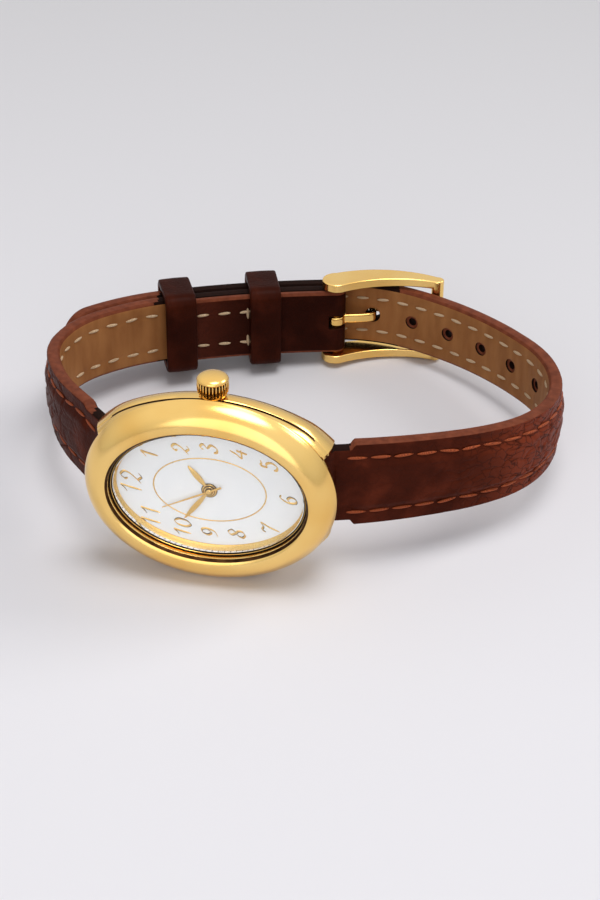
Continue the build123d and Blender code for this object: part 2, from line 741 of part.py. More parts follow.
def make_minute_hand():
    cannon_pinion_radius = gear_radius(cannon_pinion_teeth, minute_wheel_teeth, motion_spacing)
    with BuildPart() as cannon_pinion:
        gear((0, 0), minute_wheel_depth, gear_thickness, cannon_pinion_radius, cannon_pinion_teeth)
        disc((0, 0), minute_hand_front, centre_wheel_depth - gear_gap - minute_hand_front, cannon_radius)
        bore((0, 0), arbor_radius + running_clearance)
    keep(cannon_pinion, "cannon_pinion")
    with BuildPart() as minute_hand:
        with BuildSketch(slab(minute_hand_front, hand_thickness)):
            Circle(cannon_radius + hand_rim)
            leaf(minute_hand_angle, minute_hand_length, minute_hand_width, cannon_radius)
            Circle(cannon_radius + seat_clearance / 2, mode=Mode.SUBTRACT)
        extrude(amount=hand_thickness)
    keep(minute_hand, "minute_hand")


def make_second_hand():
    tip = off(second_hand_angle, second_hand_length)
    tail = off(second_hand_angle, -second_hand_tail)
    with BuildPart() as second_hand:
        with BuildSketch(slab(second_hand_front, hand_thickness)):
            Circle(arbor_radius + hand_rim)
            with BuildLine() as needle:
                Line(tail, tip)
            trace(needle.line, line_width=second_hand_width)
            Circle(arbor_radius + seat_clearance / 2, mode=Mode.SUBTRACT)
        extrude(amount=hand_thickness)
    keep(second_hand, "second_hand")


def make_setting_wheels():
    with BuildPart() as minute_wheel:
        minute_pinion = gear_radius(minute_pinion_teeth, hour_wheel_teeth, motion_spacing)
        gear(minute_spot, hour_wheel_depth, minute_wheel_depth - hour_wheel_depth, minute_pinion,
             minute_pinion_teeth)
        gear(minute_spot, minute_wheel_depth, gear_thickness, minute_wheel_radius, minute_wheel_teeth)
        make_arbor(minute_spot, hour_wheel_depth, plate_back - running_clearance)
    keep(minute_wheel, "minute_wheel")
    with BuildPart() as setting_wheel:
        gear(setting_spot, minute_wheel_depth, gear_thickness, setting_pinion_radius,
             setting_pinion_teeth)
        disc_front = plate_back + gear_gap
        gear(setting_spot, disc_front, gear_thickness, setting_disc_radius, setting_disc_teeth)
        make_arbor(setting_spot, minute_wheel_depth, disc_front + gear_thickness)
    keep(setting_wheel, "setting_wheel")


# Crown


def make_crown():
    axis = (0, crown_depth)
    bottom = Plane.XY.offset(crown_base)
    skirt_top = crown_base + crown_skirt_height
    with BuildPart() as crown:
        with BuildSketch(bottom):
            circle_at(axis, crown_collar_radius)
        extrude(amount=crown_skirt_height)
        with BuildSketch(bottom.offset(crown_collar_height)):
            circle_at(axis, crown_radius)
            with Locations(axis):
                with PolarLocations(crown_radius, crown_flutes):
                    Circle(flute_radius, mode=Mode.SUBTRACT)
        extrude(amount=crown_skirt_height - crown_collar_height)
        with BuildSketch(Plane.XZ.offset(-crown_depth)):
            with BuildLine():
                EllipticalCenterArc((0, skirt_top), crown_radius, crown_dome_height, arc_size=90)
                Polyline((0, skirt_top + crown_dome_height), (0, skirt_top), (crown_radius, skirt_top))
            make_face()
        revolve(axis=Axis((0, crown_depth, 0), (0, 0, 1)))
        with BuildSketch(bottom):
            circle_at(axis, crown_bore_radius)
        extrude(amount=crown_bore_depth, mode=Mode.SUBTRACT)
        with BuildSketch(bottom):
            circle_at(axis, stem_radius)
        extrude(amount=crown_bore_depth + stem_hold, mode=Mode.SUBTRACT)
    keep(crown, "crown")
    with BuildPart() as stem:
        with BuildSketch(Plane.XY.offset(clutch_spot)):
            circle_at(axis, stem_radius)
        extrude(amount=crown_base + crown_bore_depth + stem_hold - clutch_spot)
    keep(stem, "stem")
    with BuildPart() as crown_gasket:
        with BuildSketch(bottom.offset(crown_gasket_lift)):
            circle_at(axis, crown_bore_radius)
            circle_at(axis, tube_radius + running_clearance, Mode.SUBTRACT)
        extrude(amount=crown_gasket_height)
    keep(crown_gasket, "crown_gasket")
    with BuildPart() as crown_tube:
        start = cavity_width / 2 + running_clearance
        with BuildSketch(Plane.XY.offset(start)):
            circle_at(axis, tube_radius)
            circle_at(axis, tube_bore_radius, Mode.SUBTRACT)
        extrude(amount=case_width / 2 + tube_rise - start)
    keep(crown_tube, "crown_tube")
    with BuildPart() as clutch_wheel:
        with BuildSketch(Plane.XY.offset(clutch_spot)):
            with Locations(axis):
                Circle(clutch_radius - tooth_height)
                with PolarLocations(clutch_radius - tooth_height, clutch_teeth):
                    Rectangle(2 * tooth_height, pi * clutch_radius / clutch_teeth)
            circle_at(axis, stem_radius + running_clearance, Mode.SUBTRACT)
        extrude(amount=clutch_length)
    keep(clutch_wheel, "clutch_wheel")


# Strap


def punch_holes():
    """The buckle holes, cut through the open layer of the long strap."""
    for n in range(hole_count):
        along = tongue_along + (n + 1 - tongue_hole) * hole_pitch
        (x, y), bearing = spot(long_path, along)
        outward = (sin(radians(bearing)), -cos(radians(bearing)), 0)
        with BuildSketch(Plane(origin=(x, y, 0), x_dir=(0, 0, 1), z_dir=outward)) as hole:
            Circle(hole_radius)
        extrude(hole.sketch, amount=2 * strap_thickness, both=True, mode=Mode.SUBTRACT)


def round_tail():
    """Cut the corners off the open layer of the long strap, at its free end."""
    (x, y), bearing = spot(long_path, long_end)
    forward = (cos(radians(bearing)), sin(radians(bearing)), 0)
    outward = (sin(radians(bearing)), -cos(radians(bearing)), 0)
    with BuildSketch(Plane(origin=(x, y, 0), x_dir=forward, z_dir=outward)) as corners:
        Rectangle(2 * tail_round, 2 * tail_width)
        with Locations((-tail_width, 0)):
            RectangleRounded(2 * tail_width, tail_width, tail_round, mode=Mode.SUBTRACT)
    extrude(corners.sketch, amount=2 * strap_thickness, both=True, mode=Mode.SUBTRACT)


def make_long_strap():
    lining_start = nose_radius + seat_clearance
    pad_stop = padding_start + padding_length
    with BuildPart() as long_strap_outer:
        with BuildSketch(long_plan):
            band(long_path, 0, long_end, lining_thickness, strap_thickness)
            circle_at((bar_reach, bar_depth), nose_radius)
            circle_at((bar_reach, bar_depth), bar_tube_radius + running_clearance, Mode.SUBTRACT)
        extrude(amount=strap_width, both=True)
        taper(tail_width)
        with BuildSketch(long_plan):
            band(long_path, padding_start, pad_stop, lining_thickness, lining_thickness + padding_thickness)
        extrude(amount=tail_width / 2 - padding_border, both=True, mode=Mode.SUBTRACT)
        punch_holes()
        round_tail()
    keep(long_strap_outer, "long_strap_leather")
    with BuildPart() as long_strap_lining:
        with BuildSketch(long_plan):
            band(long_path, lining_start, long_end, 0, lining_thickness)
        extrude(amount=strap_width, both=True)
        taper(tail_width)
        punch_holes()
        round_tail()
    keep(long_strap_lining, "long_strap_lining")
    with BuildPart() as long_strap_padding:
        with BuildSketch(long_plan):
            band(long_path, padding_start, pad_stop, lining_thickness, lining_thickness + padding_thickness)
        extrude(amount=tail_width / 2 - padding_border, both=True)
    keep(long_strap_padding, "long_strap_padding")


def make_short_strap():
    lining_start = nose_radius + seat_clearance
    lining_stop = short_strap_length - fold_radius - seat_clearance
    pad_stop = padding_start + padding_length
    with BuildPart() as short_strap_outer:
        with BuildSketch(short_plan):
            band(short_path, 0, short_strap_length, lining_thickness, strap_thickness)
            band(short_path, short_strap_length - turn_back_length, short_strap_length,
                 -turn_back_thickness, 0)
            circle_at((bar_reach, bar_depth), nose_radius)
            circle_at(buckle_bar, fold_radius)
            circle_at((bar_reach, bar_depth), bar_tube_radius + running_clearance, Mode.SUBTRACT)
            circle_at(buckle_bar, buckle_bar_radius + running_clearance, Mode.SUBTRACT)
        extrude(amount=strap_width, both=True)
        taper(buckle_end_width)
        with BuildSketch(short_plan):
            band(short_path, padding_start, pad_stop, lining_thickness,
                 lining_thickness + padding_thickness)
        extrude(amount=tail_width / 2 - padding_border, both=True, mode=Mode.SUBTRACT)
        with BuildSketch(short_plan):
            circle_at(buckle_bar, fold_radius + slot_margin)
        extrude(amount=slot_width / 2, both=True, mode=Mode.SUBTRACT)
    keep(short_strap_outer, "short_strap_leather")
    with BuildPart() as short_strap_lining:
        with BuildSketch(short_plan):
            band(short_path, lining_start, lining_stop, 0, lining_thickness)
        extrude(amount=strap_width, both=True)
        taper(buckle_end_width)
        with BuildSketch(short_plan):
            circle_at(buckle_bar, fold_radius + slot_margin)
        extrude(amount=slot_width / 2, both=True, mode=Mode.SUBTRACT)
    keep(short_strap_lining, "short_strap_lining")
    with BuildPart() as short_strap_padding:
        with BuildSketch(short_plan):
            band(short_path, padding_start, pad_stop, lining_thickness,
                 lining_thickness + padding_thickness)
        extrude(amount=tail_width / 2 - padding_border, both=True)
    keep(short_strap_padding, "short_strap_padding")


def make_keeper(name, offset, travel):
    """A leather loop round both straps, square to the way that it slides."""
    along = short_strap_length - offset
    (x, y), _ = spot(short_path, along)
    (near_x, near_y), _ = spot(short_path, along - keeper_width / 2)
    (far_x, far_y), _ = spot(short_path, along + travel + keeper_width / 2)
    bearing = atan2(far_y - near_y, near_x - far_x)
    way = (cos(bearing), sin(bearing), 0)
    outward = (-sin(bearing), cos(bearing), 0)
    inner_depth = 2 * strap_thickness + tail_gap + turn_back_thickness + 2 * keeper_clearance
    inner_width = buckle_end_width + 2 * keeper_side_clearance
    middle = inner_depth / 2 - turn_back_thickness - keeper_clearance
    centre = (-x + outward[0] * middle, y + outward[1] * middle, 0)
    with BuildPart() as keeper:
        with BuildSketch(Plane(origin=centre, x_dir=outward, z_dir=way)):
            RectangleRounded(
                inner_depth + 2 * keeper_thickness, inner_width + 2 * keeper_thickness,
                keeper_round + keeper_thickness,
            )
            RectangleRounded(inner_depth, inner_width, keeper_round, mode=Mode.SUBTRACT)
        extrude(amount=keeper_width / 2, both=True)
    keep(keeper, name)


# Buckle


def make_buckle():
    pivot = (buckle_bar_x, buckle_bar_y)
    rail_start = buckle_end_width / 2 + rail_clearance
    bore_depth = rail_width * rail_bore_share
    with BuildPart() as buckle_bar_pin:
        with BuildSketch(long_plan):
            circle_at(pivot, buckle_bar_radius)
        extrude(amount=rail_start + bore_depth - seat_clearance, both=True)
    keep(buckle_bar_pin, "buckle_bar")
    slope = degrees(atan2(end_bar[1] - buckle_bar_y, end_bar[0] - buckle_bar_x))
    middle = ((pivot[0] + end_bar[0]) / 2, (pivot[1] + end_bar[1]) / 2)
    with BuildPart() as buckle_frame:
        with BuildSketch(Plane.XY.offset(rail_start)):
            circle_at(pivot, rail_eye_radius)
            circle_at(end_bar, end_bar_radius)
            with BuildLine():
                crest = off(slope + 90, rail_crest, middle)
                hollow = off(slope + 90, rail_crest - rail_middle, middle)
                eye_top = off(slope + 90, rail_eye_radius, pivot)
                eye_root = off(slope + rail_root_bearing, rail_eye_radius, pivot)
                bar_top = off(slope + 90, end_bar_radius, end_bar)
                bar_root = off(slope - 90, end_bar_radius, end_bar)
                ThreePointArc(eye_top, crest, bar_top)
                ThreePointArc(eye_root, hollow, bar_root)
                Line(eye_top, eye_root)
                Line(bar_top, bar_root)
            make_face()
        extrude(amount=rail_width)
        with BuildSketch(Plane.XY.offset(rail_start)):
            circle_at(pivot, buckle_bar_radius + running_clearance)
        extrude(amount=bore_depth, mode=Mode.SUBTRACT)
        mirror(about=Plane.XY)
        with BuildSketch(long_plan):
            circle_at(end_bar, end_bar_radius)
        extrude(amount=rail_start + rail_width, both=True)
    keep(buckle_frame, "buckle_frame")


def make_tongue():
    pivot = Vector(buckle_bar_x, buckle_bar_y)
    (x, y), _ = spot(long_path, tongue_along, -tongue_under)
    (over_x, over_y), _ = spot(
        long_path, tongue_along, strap_thickness + tongue_over + tongue_thickness / 2
    )
    _, end_bearing = spot(long_path, landing - end_bar_offset)
    reach = end_bar_radius + tongue_thickness / 2 + tongue_rest_clearance
    rest = Vector(
        end_bar[0] + reach * sin(radians(end_bearing)), end_bar[1] - reach * cos(radians(end_bearing))
    )
    under, over = Vector(x, y), Vector(over_x, over_y)
    curl_radius = buckle_bar_radius + running_clearance + tongue_thickness / 2
    root = pivot + (under - pivot).normalized() * curl_radius
    tip = rest + (rest - over).normalized() * tongue_overhang
    with BuildPart() as tongue:
        with BuildSketch(long_plan):
            circle_at((pivot.X, pivot.Y), curl_radius + tongue_thickness / 2)
            with BuildLine() as shaft:
                Polyline(root, under, over, rest, tip)
            trace(shaft.line, line_width=tongue_thickness)
            circle_at((pivot.X, pivot.Y), buckle_bar_radius + running_clearance, Mode.SUBTRACT)
        extrude(amount=tongue_width / 2, both=True)
    keep(tongue, "tongue")


def stand():
    """How the watch rests: tipped onto the bezel and the buckle, centred over the origin."""
    tilt = Location((0, 0, 0), (rest_tilt, 0, 0))
    box = Compound(children=[piece.moved(tilt) for piece in pieces.values()]).bounding_box()
    centre = box.center()
    return Location((-centre.X, -centre.Y, -box.min.Z)) * tilt


def write_pieces():
    os.makedirs("parts", exist_ok=True)
    resting = stand()
    for name, piece in pieces.items():
        stood = piece.moved(resting)
        stood.label = name
        export_step(stood, f"parts/{name}.step")


make_case_middle()
make_bezel()
make_crystal()
make_dial_ring()
make_dial()
make_caseback()
make_spring_bars()
make_main_plate()
make_movement_holder()
make_train_bridge()
make_power()
make_electronics()
make_motor()
make_train()
make_hour_hand()
make_minute_hand()
make_second_hand()
make_setting_wheels()
make_crown()
make_long_strap()
make_short_strap()
make_keeper("fixed_keeper", fixed_keeper_offset, 0)
make_keeper("free_keeper", free_keeper_offset, keeper_travel)
make_buckle()
make_tongue()
write_pieces()
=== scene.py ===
import bpy, bmesh, json, math
from mathutils import Matrix, Vector, noise


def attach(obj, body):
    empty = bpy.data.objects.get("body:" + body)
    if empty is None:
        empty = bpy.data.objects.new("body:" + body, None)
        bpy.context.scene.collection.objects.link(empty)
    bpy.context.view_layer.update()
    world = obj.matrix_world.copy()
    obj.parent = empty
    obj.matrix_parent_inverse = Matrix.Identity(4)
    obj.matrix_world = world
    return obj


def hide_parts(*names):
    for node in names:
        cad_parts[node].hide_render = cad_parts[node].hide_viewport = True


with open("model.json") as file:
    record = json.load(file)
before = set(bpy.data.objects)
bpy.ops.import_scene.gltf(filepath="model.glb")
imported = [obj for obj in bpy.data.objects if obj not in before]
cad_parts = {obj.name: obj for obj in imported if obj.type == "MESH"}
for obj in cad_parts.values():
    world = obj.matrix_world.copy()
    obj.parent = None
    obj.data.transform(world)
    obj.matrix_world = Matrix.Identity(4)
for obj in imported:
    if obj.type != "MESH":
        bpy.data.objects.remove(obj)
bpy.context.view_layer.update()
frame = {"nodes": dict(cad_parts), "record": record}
print("frame loaded:", len(frame["nodes"]), "nodes")

# The watch's own axes, in mm: x towards six o'clock, y from the face into the strap's loop,
# z towards the crown. The whole watch is tipped a little on the table.
restTilt = math.radians(-7.7)
backOfCase = 6.5
awayFromFace = Vector((0, math.cos(restTilt), math.sin(restTilt)))
towardsCrown = Vector((0, -math.sin(restTilt), math.cos(restTilt)))
capPlace = Vector(frame["record"]["mounts"][0]["pos_m"])
watchOrigin = capPlace - awayFromFace * backOfCase / 1000


def turned(v):
    return Vector((v[0], 0, 0)) + awayFromFace * v[1] + towardsCrown * v[2]


def stand(v):  # a point of the watch, in mm, to its place on the table, in metres
    return watchOrigin + turned(v) / 1000


# camera
view = {
    "right": (0.98224, 0.18739, 0.00888),
    "up": (-0.10769, 0.52442, 0.84462),
    "ahead": (-0.15362, 0.83058, -0.53529),
    "place": (49.31, -202.83, 138.46),  # mm, in the watch's axes
    "lens": 77.98,
}
camera = bpy.data.cameras.new("camera")
camera.lens = view["lens"]
camera.sensor_width = camera.sensor_height = 36
camera.sensor_fit = "VERTICAL"
camera.clip_start, camera.clip_end = 0.005, 20
cameraObject = bpy.data.objects.new("camera", camera)
bpy.context.collection.objects.link(cameraObject)
cameraTurn = Matrix([turned(view["right"]), turned(view["up"]), -turned(view["ahead"])]).transposed()
cameraObject.matrix_world = Matrix.Translation(stand(view["place"])) @ cameraTurn.to_4x4()
bpy.context.scene.camera = cameraObject
bpy.context.scene.view_settings.view_transform = "Standard"


# small helpers for shader trees
def startMaterial(name):
    mat = bpy.data.materials.new(name)
    mat.use_nodes = True
    mat.node_tree.nodes.clear()
    out = mat.node_tree.nodes.new("ShaderNodeOutputMaterial")
    shader = mat.node_tree.nodes.new("ShaderNodeBsdfPrincipled")
    mat.node_tree.links.new(shader.outputs[0], out.inputs[0])
    return mat, shader


def add(mat, kind, inputs=None, **settings):
    made = mat.node_tree.nodes.new("ShaderNode" + kind)
    for key, value in settings.items():
        setattr(made, key, value)
    for key, value in (inputs or {}).items():
        if isinstance(value, bpy.types.NodeSocket):
            mat.node_tree.links.new(value, made.inputs[key])
        else:
            made.inputs[key].default_value = value
    return made


def join(mat, source, target):
    mat.node_tree.links.new(source, target)


def ramp(mat, source, stops):
    made = add(mat, "ValToRGB", {0: source})
    while len(made.color_ramp.elements) < len(stops):
        made.color_ramp.elements.new(0.5)
    for element, (place, colour) in zip(made.color_ramp.elements, stops):
        element.position = place
        element.color = (*colour, 1)
    return made.outputs[0]


def spread(mat, source, low, high):  # a 0..1 value onto another range
    return add(mat, "MapRange", {0: source, 3: low, 4: high}).outputs[0]


def blend(mat, factor, a, b, how="MIX"):
    made = add(mat, "Mix", data_type="RGBA", blend_type=how)
    for index, value in ((0, factor), (6, a), (7, b)):
        if isinstance(value, bpy.types.NodeSocket):
            join(mat, value, made.inputs[index])
        elif index:
            made.inputs[index].default_value = (*value, 1)
        else:
            made.inputs[index].default_value = value
    return made.outputs[2]


def maths(mat, how, a, b=0.5):
    return add(mat, "Math", {0: a, 1: b}, operation=how).outputs[0]


def grainOf(mat, place, scale, detail):
    return add(mat, "TexNoise", {"Vector": place, "Scale": scale, "Detail": detail}).outputs[0]


def objectPlace(mat, stretch=(1000, 1000, 1000), turn=(0, 0, 0)):  # mm
    place = add(mat, "TexCoord").outputs["Object"]
    return add(mat, "Mapping", {0: place, 2: turn, 3: stretch}).outputs[0]


def stripPlace(mat, stretch=(1, 1, 1)):  # mm along and across a strap
    place = add(mat, "UVMap", uv_map="along").outputs[0]
    return add(mat, "Mapping", {0: place, 3: stretch}).outputs[0]


def bumpFrom(mat, shader, height, strength, distance):
    made = add(mat, "Bump", {"Height": height, "Strength": strength, "Distance": distance / 1000})
    join(mat, made.outputs[0], shader.inputs["Normal"])
    return made


# finishes
goldFinish = {
    "bright": (0.93, 0.625, 0.215), "deep": (0.87, 0.52, 0.14),
    "roughness": (0.15, 0.21), "hairlines": 0.03,
}


def makeGold(name, finish=goldFinish, rough=1.0, shade=1.0):
    mat, shader = startMaterial(name)
    place = objectPlace(mat)
    cloud = grainOf(mat, place, 0.12, 2)
    fine = grainOf(mat, place, 6.0, 5)
    bright = [c * shade for c in finish["bright"]]
    deep = [c * shade for c in finish["deep"]]
    colour = ramp(mat, cloud, [(0.3, deep), (0.62, bright)])
    join(mat, colour, shader.inputs["Base Color"])
    low, high = (r * rough for r in finish["roughness"])
    join(mat, spread(mat, fine, low, high), shader.inputs["Roughness"])
    shader.inputs["Metallic"].default_value = 1
    scratch = objectPlace(mat, (9000, 300, 1400), (0.3, 0.5, 0.2))
    lines = grainOf(mat, scratch, 1.0, 2)
    bumpFrom(mat, shader, lines, finish["hairlines"], 0.01)
    return mat


def makeMetal(name, light, dark, low, high, grain=(400, 400, 9000), strength=0.15):
    mat, shader = startMaterial(name)
    cloud = grainOf(mat, objectPlace(mat), 0.8, 4)
    join(mat, ramp(mat, cloud, [(0.3, dark), (0.7, light)]), shader.inputs["Base Color"])
    brush = grainOf(mat, objectPlace(mat, grain), 1, 3)
    join(mat, spread(mat, brush, low, high), shader.inputs["Roughness"])
    shader.inputs["Metallic"].default_value = 1
    bumpFrom(mat, shader, brush, strength, 0.01)
    return mat


def makePlain(name, light, dark, low, high, scale=1.2, grain=0.1, shine=0.3):
    mat, shader = startMaterial(name)
    place = objectPlace(mat)
    cloud = grainOf(mat, place, scale, 5)
    fine = grainOf(mat, place, 14, 3)
    join(mat, ramp(mat, cloud, [(0.3, dark), (0.7, light)]), shader.inputs["Base Color"])
    join(mat, spread(mat, fine, low, high), shader.inputs["Roughness"])
    shader.inputs["Specular IOR Level"].default_value = shine
    bumpFrom(mat, shader, fine, grain, 0.02)
    return mat


leatherLook = {
    "light": (0.25, 0.046, 0.019), "middle": (0.056, 0.0096, 0.0040), "dark": (0.014, 0.003, 0.0016),
    "roughness": (0.26, 0.44), "crease": 0.55, "creasePitch": 0.9, "crackWidth": 0.07, "pebble": 3.2,
    "bend": (16, 26, 44, 54),  # mm along the strap; the bend gets deeper cracks and a painted highlight
    "straight": (0.22, 0.3),  # what is left of the cracks before the bend and after it
}


def makeLeather(name, look=leatherLook, shade=1.0, crease=1.0, shine=0.045):
    mat, shader = startMaterial(name)
    wobble = add(mat, "TexNoise", {"Vector": stripPlace(mat), "Scale": 0.7, "Detail": 2})
    shifted = add(mat, "VectorMath", {0: wobble.outputs[1], 1: (1.6, 1.6, 0)}, operation="MULTIPLY")
    place = add(mat, "VectorMath", {0: stripPlace(mat, (0.72, 1, 1)), 1: shifted.outputs[0]}).outputs[0]
    edges = add(mat, "TexVoronoi", {"Vector": place, "Scale": look["creasePitch"]},
                feature="DISTANCE_TO_EDGE").outputs["Distance"]
    cracks = add(mat, "MapRange", {0: edges, 1: 0.0, 2: look["crackWidth"], 3: 0.0, 4: 1.0}).outputs[0]
    grainEdge = add(mat, "TexVoronoi", {"Vector": stripPlace(mat), "Scale": look["pebble"]},
                    feature="SMOOTH_F1").outputs["Distance"]
    pores = grainOf(mat, stripPlace(mat), 9, 6)
    run = add(mat, "SeparateXYZ", {0: stripPlace(mat)}).outputs[0]
    (a, b, c, d), (before, after) = look["bend"], look["straight"]
    rising = add(mat, "MapRange", {0: run, 1: a, 2: b, 3: before, 4: 1.0}).outputs[0]
    falling = add(mat, "MapRange", {0: run, 1: c, 2: d, 3: 1.0, 4: after}).outputs[0]
    bent = maths(mat, "MULTIPLY", rising, falling)
    cracks = maths(mat, "MULTIPLY", cracks, bent)
    cloud = grainOf(mat, stripPlace(mat), 0.22, 5)
    tones = [[c * shade for c in look[k]] for k in ("dark", "middle", "light")]
    deeper, lighter = ([(a + b) / 2 for a, b in zip(tones[1], tone)] for tone in (tones[0], tones[2]))
    body = ramp(mat, cloud, [(0.28, deeper), (0.5, tones[1]), (0.85, lighter)])
    mottled = blend(mat, spread(mat, pores, 0.0, 0.5), body, tones[1])
    # lighter towards the bend: a painted highlight where the curved strap catches the light
    mottled = blend(mat, spread(mat, maths(mat, "POWER", bent, 2.5), 0.0, 0.6), mottled, tones[2])
    # the cracks are painted darker: the cracked finish and painted shade in the creases
    crackTintAndPaintedShade = spread(mat, maths(mat, "SUBTRACT", bent, cracks), 0.0, 0.8 * crease)
    creased = blend(mat, crackTintAndPaintedShade, mottled, tones[0])
    join(mat, creased, shader.inputs["Base Color"])
    low, high = look["roughness"]
    join(mat, spread(mat, pores, low, high), shader.inputs["Roughness"])
    join(mat, spread(mat, maths(mat, "POWER", bent, 3.0), 0.03, shine), shader.inputs["Specular IOR Level"])
    relief = maths(mat, "ADD", maths(mat, "MULTIPLY", cracks, look["crease"] * crease),
                   maths(mat, "ADD", maths(mat, "MULTIPLY", grainEdge, -0.35),
                         maths(mat, "MULTIPLY", pores, 0.22)))
    bumpFrom(mat, shader, relief, 0.55, 0.16)
    return mat


def makeLining(name):
    mat, shader = startMaterial(name)
    long = grainOf(mat, stripPlace(mat, (1, 0.25, 1)), 0.55, 4)
    fibre = grainOf(mat, stripPlace(mat), 7, 6)
    pores = add(mat, "TexVoronoi", {"Vector": stripPlace(mat), "Scale": 5}, feature="F1").outputs[0]
    base = ramp(mat, long, [(0.3, (0.235, 0.083, 0.021)), (0.7, (0.37, 0.155, 0.048))])
    tinted = blend(mat, spread(mat, fibre, 0.0, 0.5), base, (0.33, 0.15, 0.055))
    join(mat, tinted, shader.inputs["Base Color"])
    join(mat, spread(mat, fibre, 0.42, 0.62), shader.inputs["Roughness"])
    shader.inputs["Specular IOR Level"].default_value = 0.1
    relief = maths(mat, "ADD", maths(mat, "MULTIPLY", fibre, 0.5), maths(mat, "MULTIPLY", pores, 0.25))
    bumpFrom(mat, shader, relief, 0.4, 0.06)
    return mat


def makeThread(name, light, dark):
    mat, shader = startMaterial(name)
    twist = add(mat, "TexWave", {"Vector": objectPlace(mat, (1000, 1000, 1000), (0.4, 0.7, 0.8)),
                                 "Scale": 4.0, "Distortion": 1.5, "Detail": 1}).outputs[1]
    join(mat, ramp(mat, twist, [(0.2, dark), (0.8, light)]), shader.inputs["Base Color"])
    join(mat, spread(mat, twist, 0.6, 0.45), shader.inputs["Roughness"])
    shader.inputs["Specular IOR Level"].default_value = 0.2
    bumpFrom(mat, shader, twist, 0.5, 0.04)
    return mat


def makeGlass(name):
    mat, shader = startMaterial(name)
    shader.inputs["Base Color"].default_value = (0.985, 0.99, 0.99, 1)
    shader.inputs["Transmission Weight"].default_value = 1
    shader.inputs["IOR"].default_value = 1.45
    smear = grainOf(mat, objectPlace(mat), 0.5, 2)
    join(mat, spread(mat, smear, 0.0, 0.02), shader.inputs["Roughness"])
    clear = add(mat, "BsdfTransparent")
    lampRays = add(mat, "LightPath").outputs["Is Shadow Ray"]
    mixed = add(mat, "MixShader", {0: lampRays, 1: shader.outputs[0], 2: clear.outputs[0]})
    join(mat, mixed.outputs[0], mat.node_tree.nodes["Material Output"].inputs[0])
    return mat


def makeDialPaint(name):
    mat, shader = startMaterial(name)
    place = objectPlace(mat)
    cloud = grainOf(mat, place, 0.3, 4)
    grit = grainOf(mat, place, 22, 2)
    join(mat, ramp(mat, cloud, [(0.3, (0.925, 0.93, 0.94)), (0.7, (0.95, 0.95, 0.95))]),
         shader.inputs["Base Color"])
    join(mat, spread(mat, grit, 0.30, 0.42), shader.inputs["Roughness"])
    shader.inputs["Coat Weight"].default_value = 0.3
    bumpFrom(mat, shader, grit, 0.05, 0.01)
    return mat


gold = makeGold("polishedGold")
handGold = makeGold("handGold", rough=1.5, shade=0.93)
# a dark metal used only as painted shade and painted dark reflection on the gold
groove = makeMetal("paintedShadeMetal", (0.085, 0.036, 0.012), (0.022, 0.009, 0.004), 0.35, 0.5)
leather = makeLeather("strapLeather")
# darker copies of the strap leather: painted shade on the turn-back inside the loop and on the keepers
foldLeatherPaintedShade = makeLeather("foldLeatherPaintedShade", shade=0.42, crease=0.3, shine=0.06)
keeperLeatherPaintedShade = makeLeather("keeperLeatherPaintedShade", shade=0.5, crease=0.35, shine=0.06)
lining = makeLining("strapLining")
edgePaint = makePlain("edgePaint", (0.215, 0.055, 0.024), (0.125, 0.030, 0.013), 0.45, 0.65, 1.0, 0.35,
                      shine=0.1)
# near black: painted shade on the hole walls and on the strap's edges between the lugs
holeWallPaintedShade = makePlain("holeWallPaintedShade", (0.016, 0.005, 0.003), (0.008, 0.003, 0.002), 0.6, 0.8, 2.0, 0.4, shine=0.05)
rustThread = makeThread("rustThread", (0.42, 0.088, 0.024), (0.20, 0.038, 0.011))
creamThread = makeThread("creamThread", (0.66, 0.50, 0.33), (0.44, 0.29, 0.16))
seal = makePlain("sealBlack", (0.014, 0.008, 0.005), (0.006, 0.004, 0.003), 0.3, 0.45, shine=0.1)
slotLooks = {
    "gold": gold,
    "gold_hands": handGold,
    "crystal": makeGlass("clearCrystal"),
    "dial": makeDialPaint("dialWhite"),
    "seal": seal,
    "steel": makeMetal("brushedSteel", (0.62, 0.61, 0.59), (0.48, 0.47, 0.45), 0.22, 0.38),
    "movement_brass": makeMetal("movementBrass", (0.72, 0.53, 0.25), (0.55, 0.38, 0.16), 0.25, 0.42),
    "rotor": makeMetal("rotorSteel", (0.42, 0.42, 0.43), (0.28, 0.28, 0.30), 0.3, 0.45),
    "holder": makePlain("holderPlastic", (0.80, 0.79, 0.74), (0.70, 0.69, 0.64), 0.4, 0.55),
    "battery": makeMetal("batterySteel", (0.70, 0.70, 0.70), (0.56, 0.56, 0.57), 0.16, 0.3),
    "board": makePlain("boardGreen", (0.02, 0.14, 0.06), (0.012, 0.08, 0.035), 0.3, 0.45, 2.0),
    "copper": makeMetal("coilCopper", (0.86, 0.42, 0.24), (0.55, 0.22, 0.11), 0.25, 0.4, (9000, 9000, 300)),
    "leather": leather,
    "keeper_leather": keeperLeatherPaintedShade,
    "lining": lining,
    "padding": makePlain("padFelt", (0.36, 0.33, 0.28), (0.25, 0.22, 0.18), 0.8, 0.95, 3.0, 0.5),
}
for subpart in frame["record"]["subparts"]:
    node = frame["nodes"][subpart["node"]]
    node.data.materials.clear()
    node.data.materials.append(slotLooks[subpart["material_slot"]])
print("finishes made")


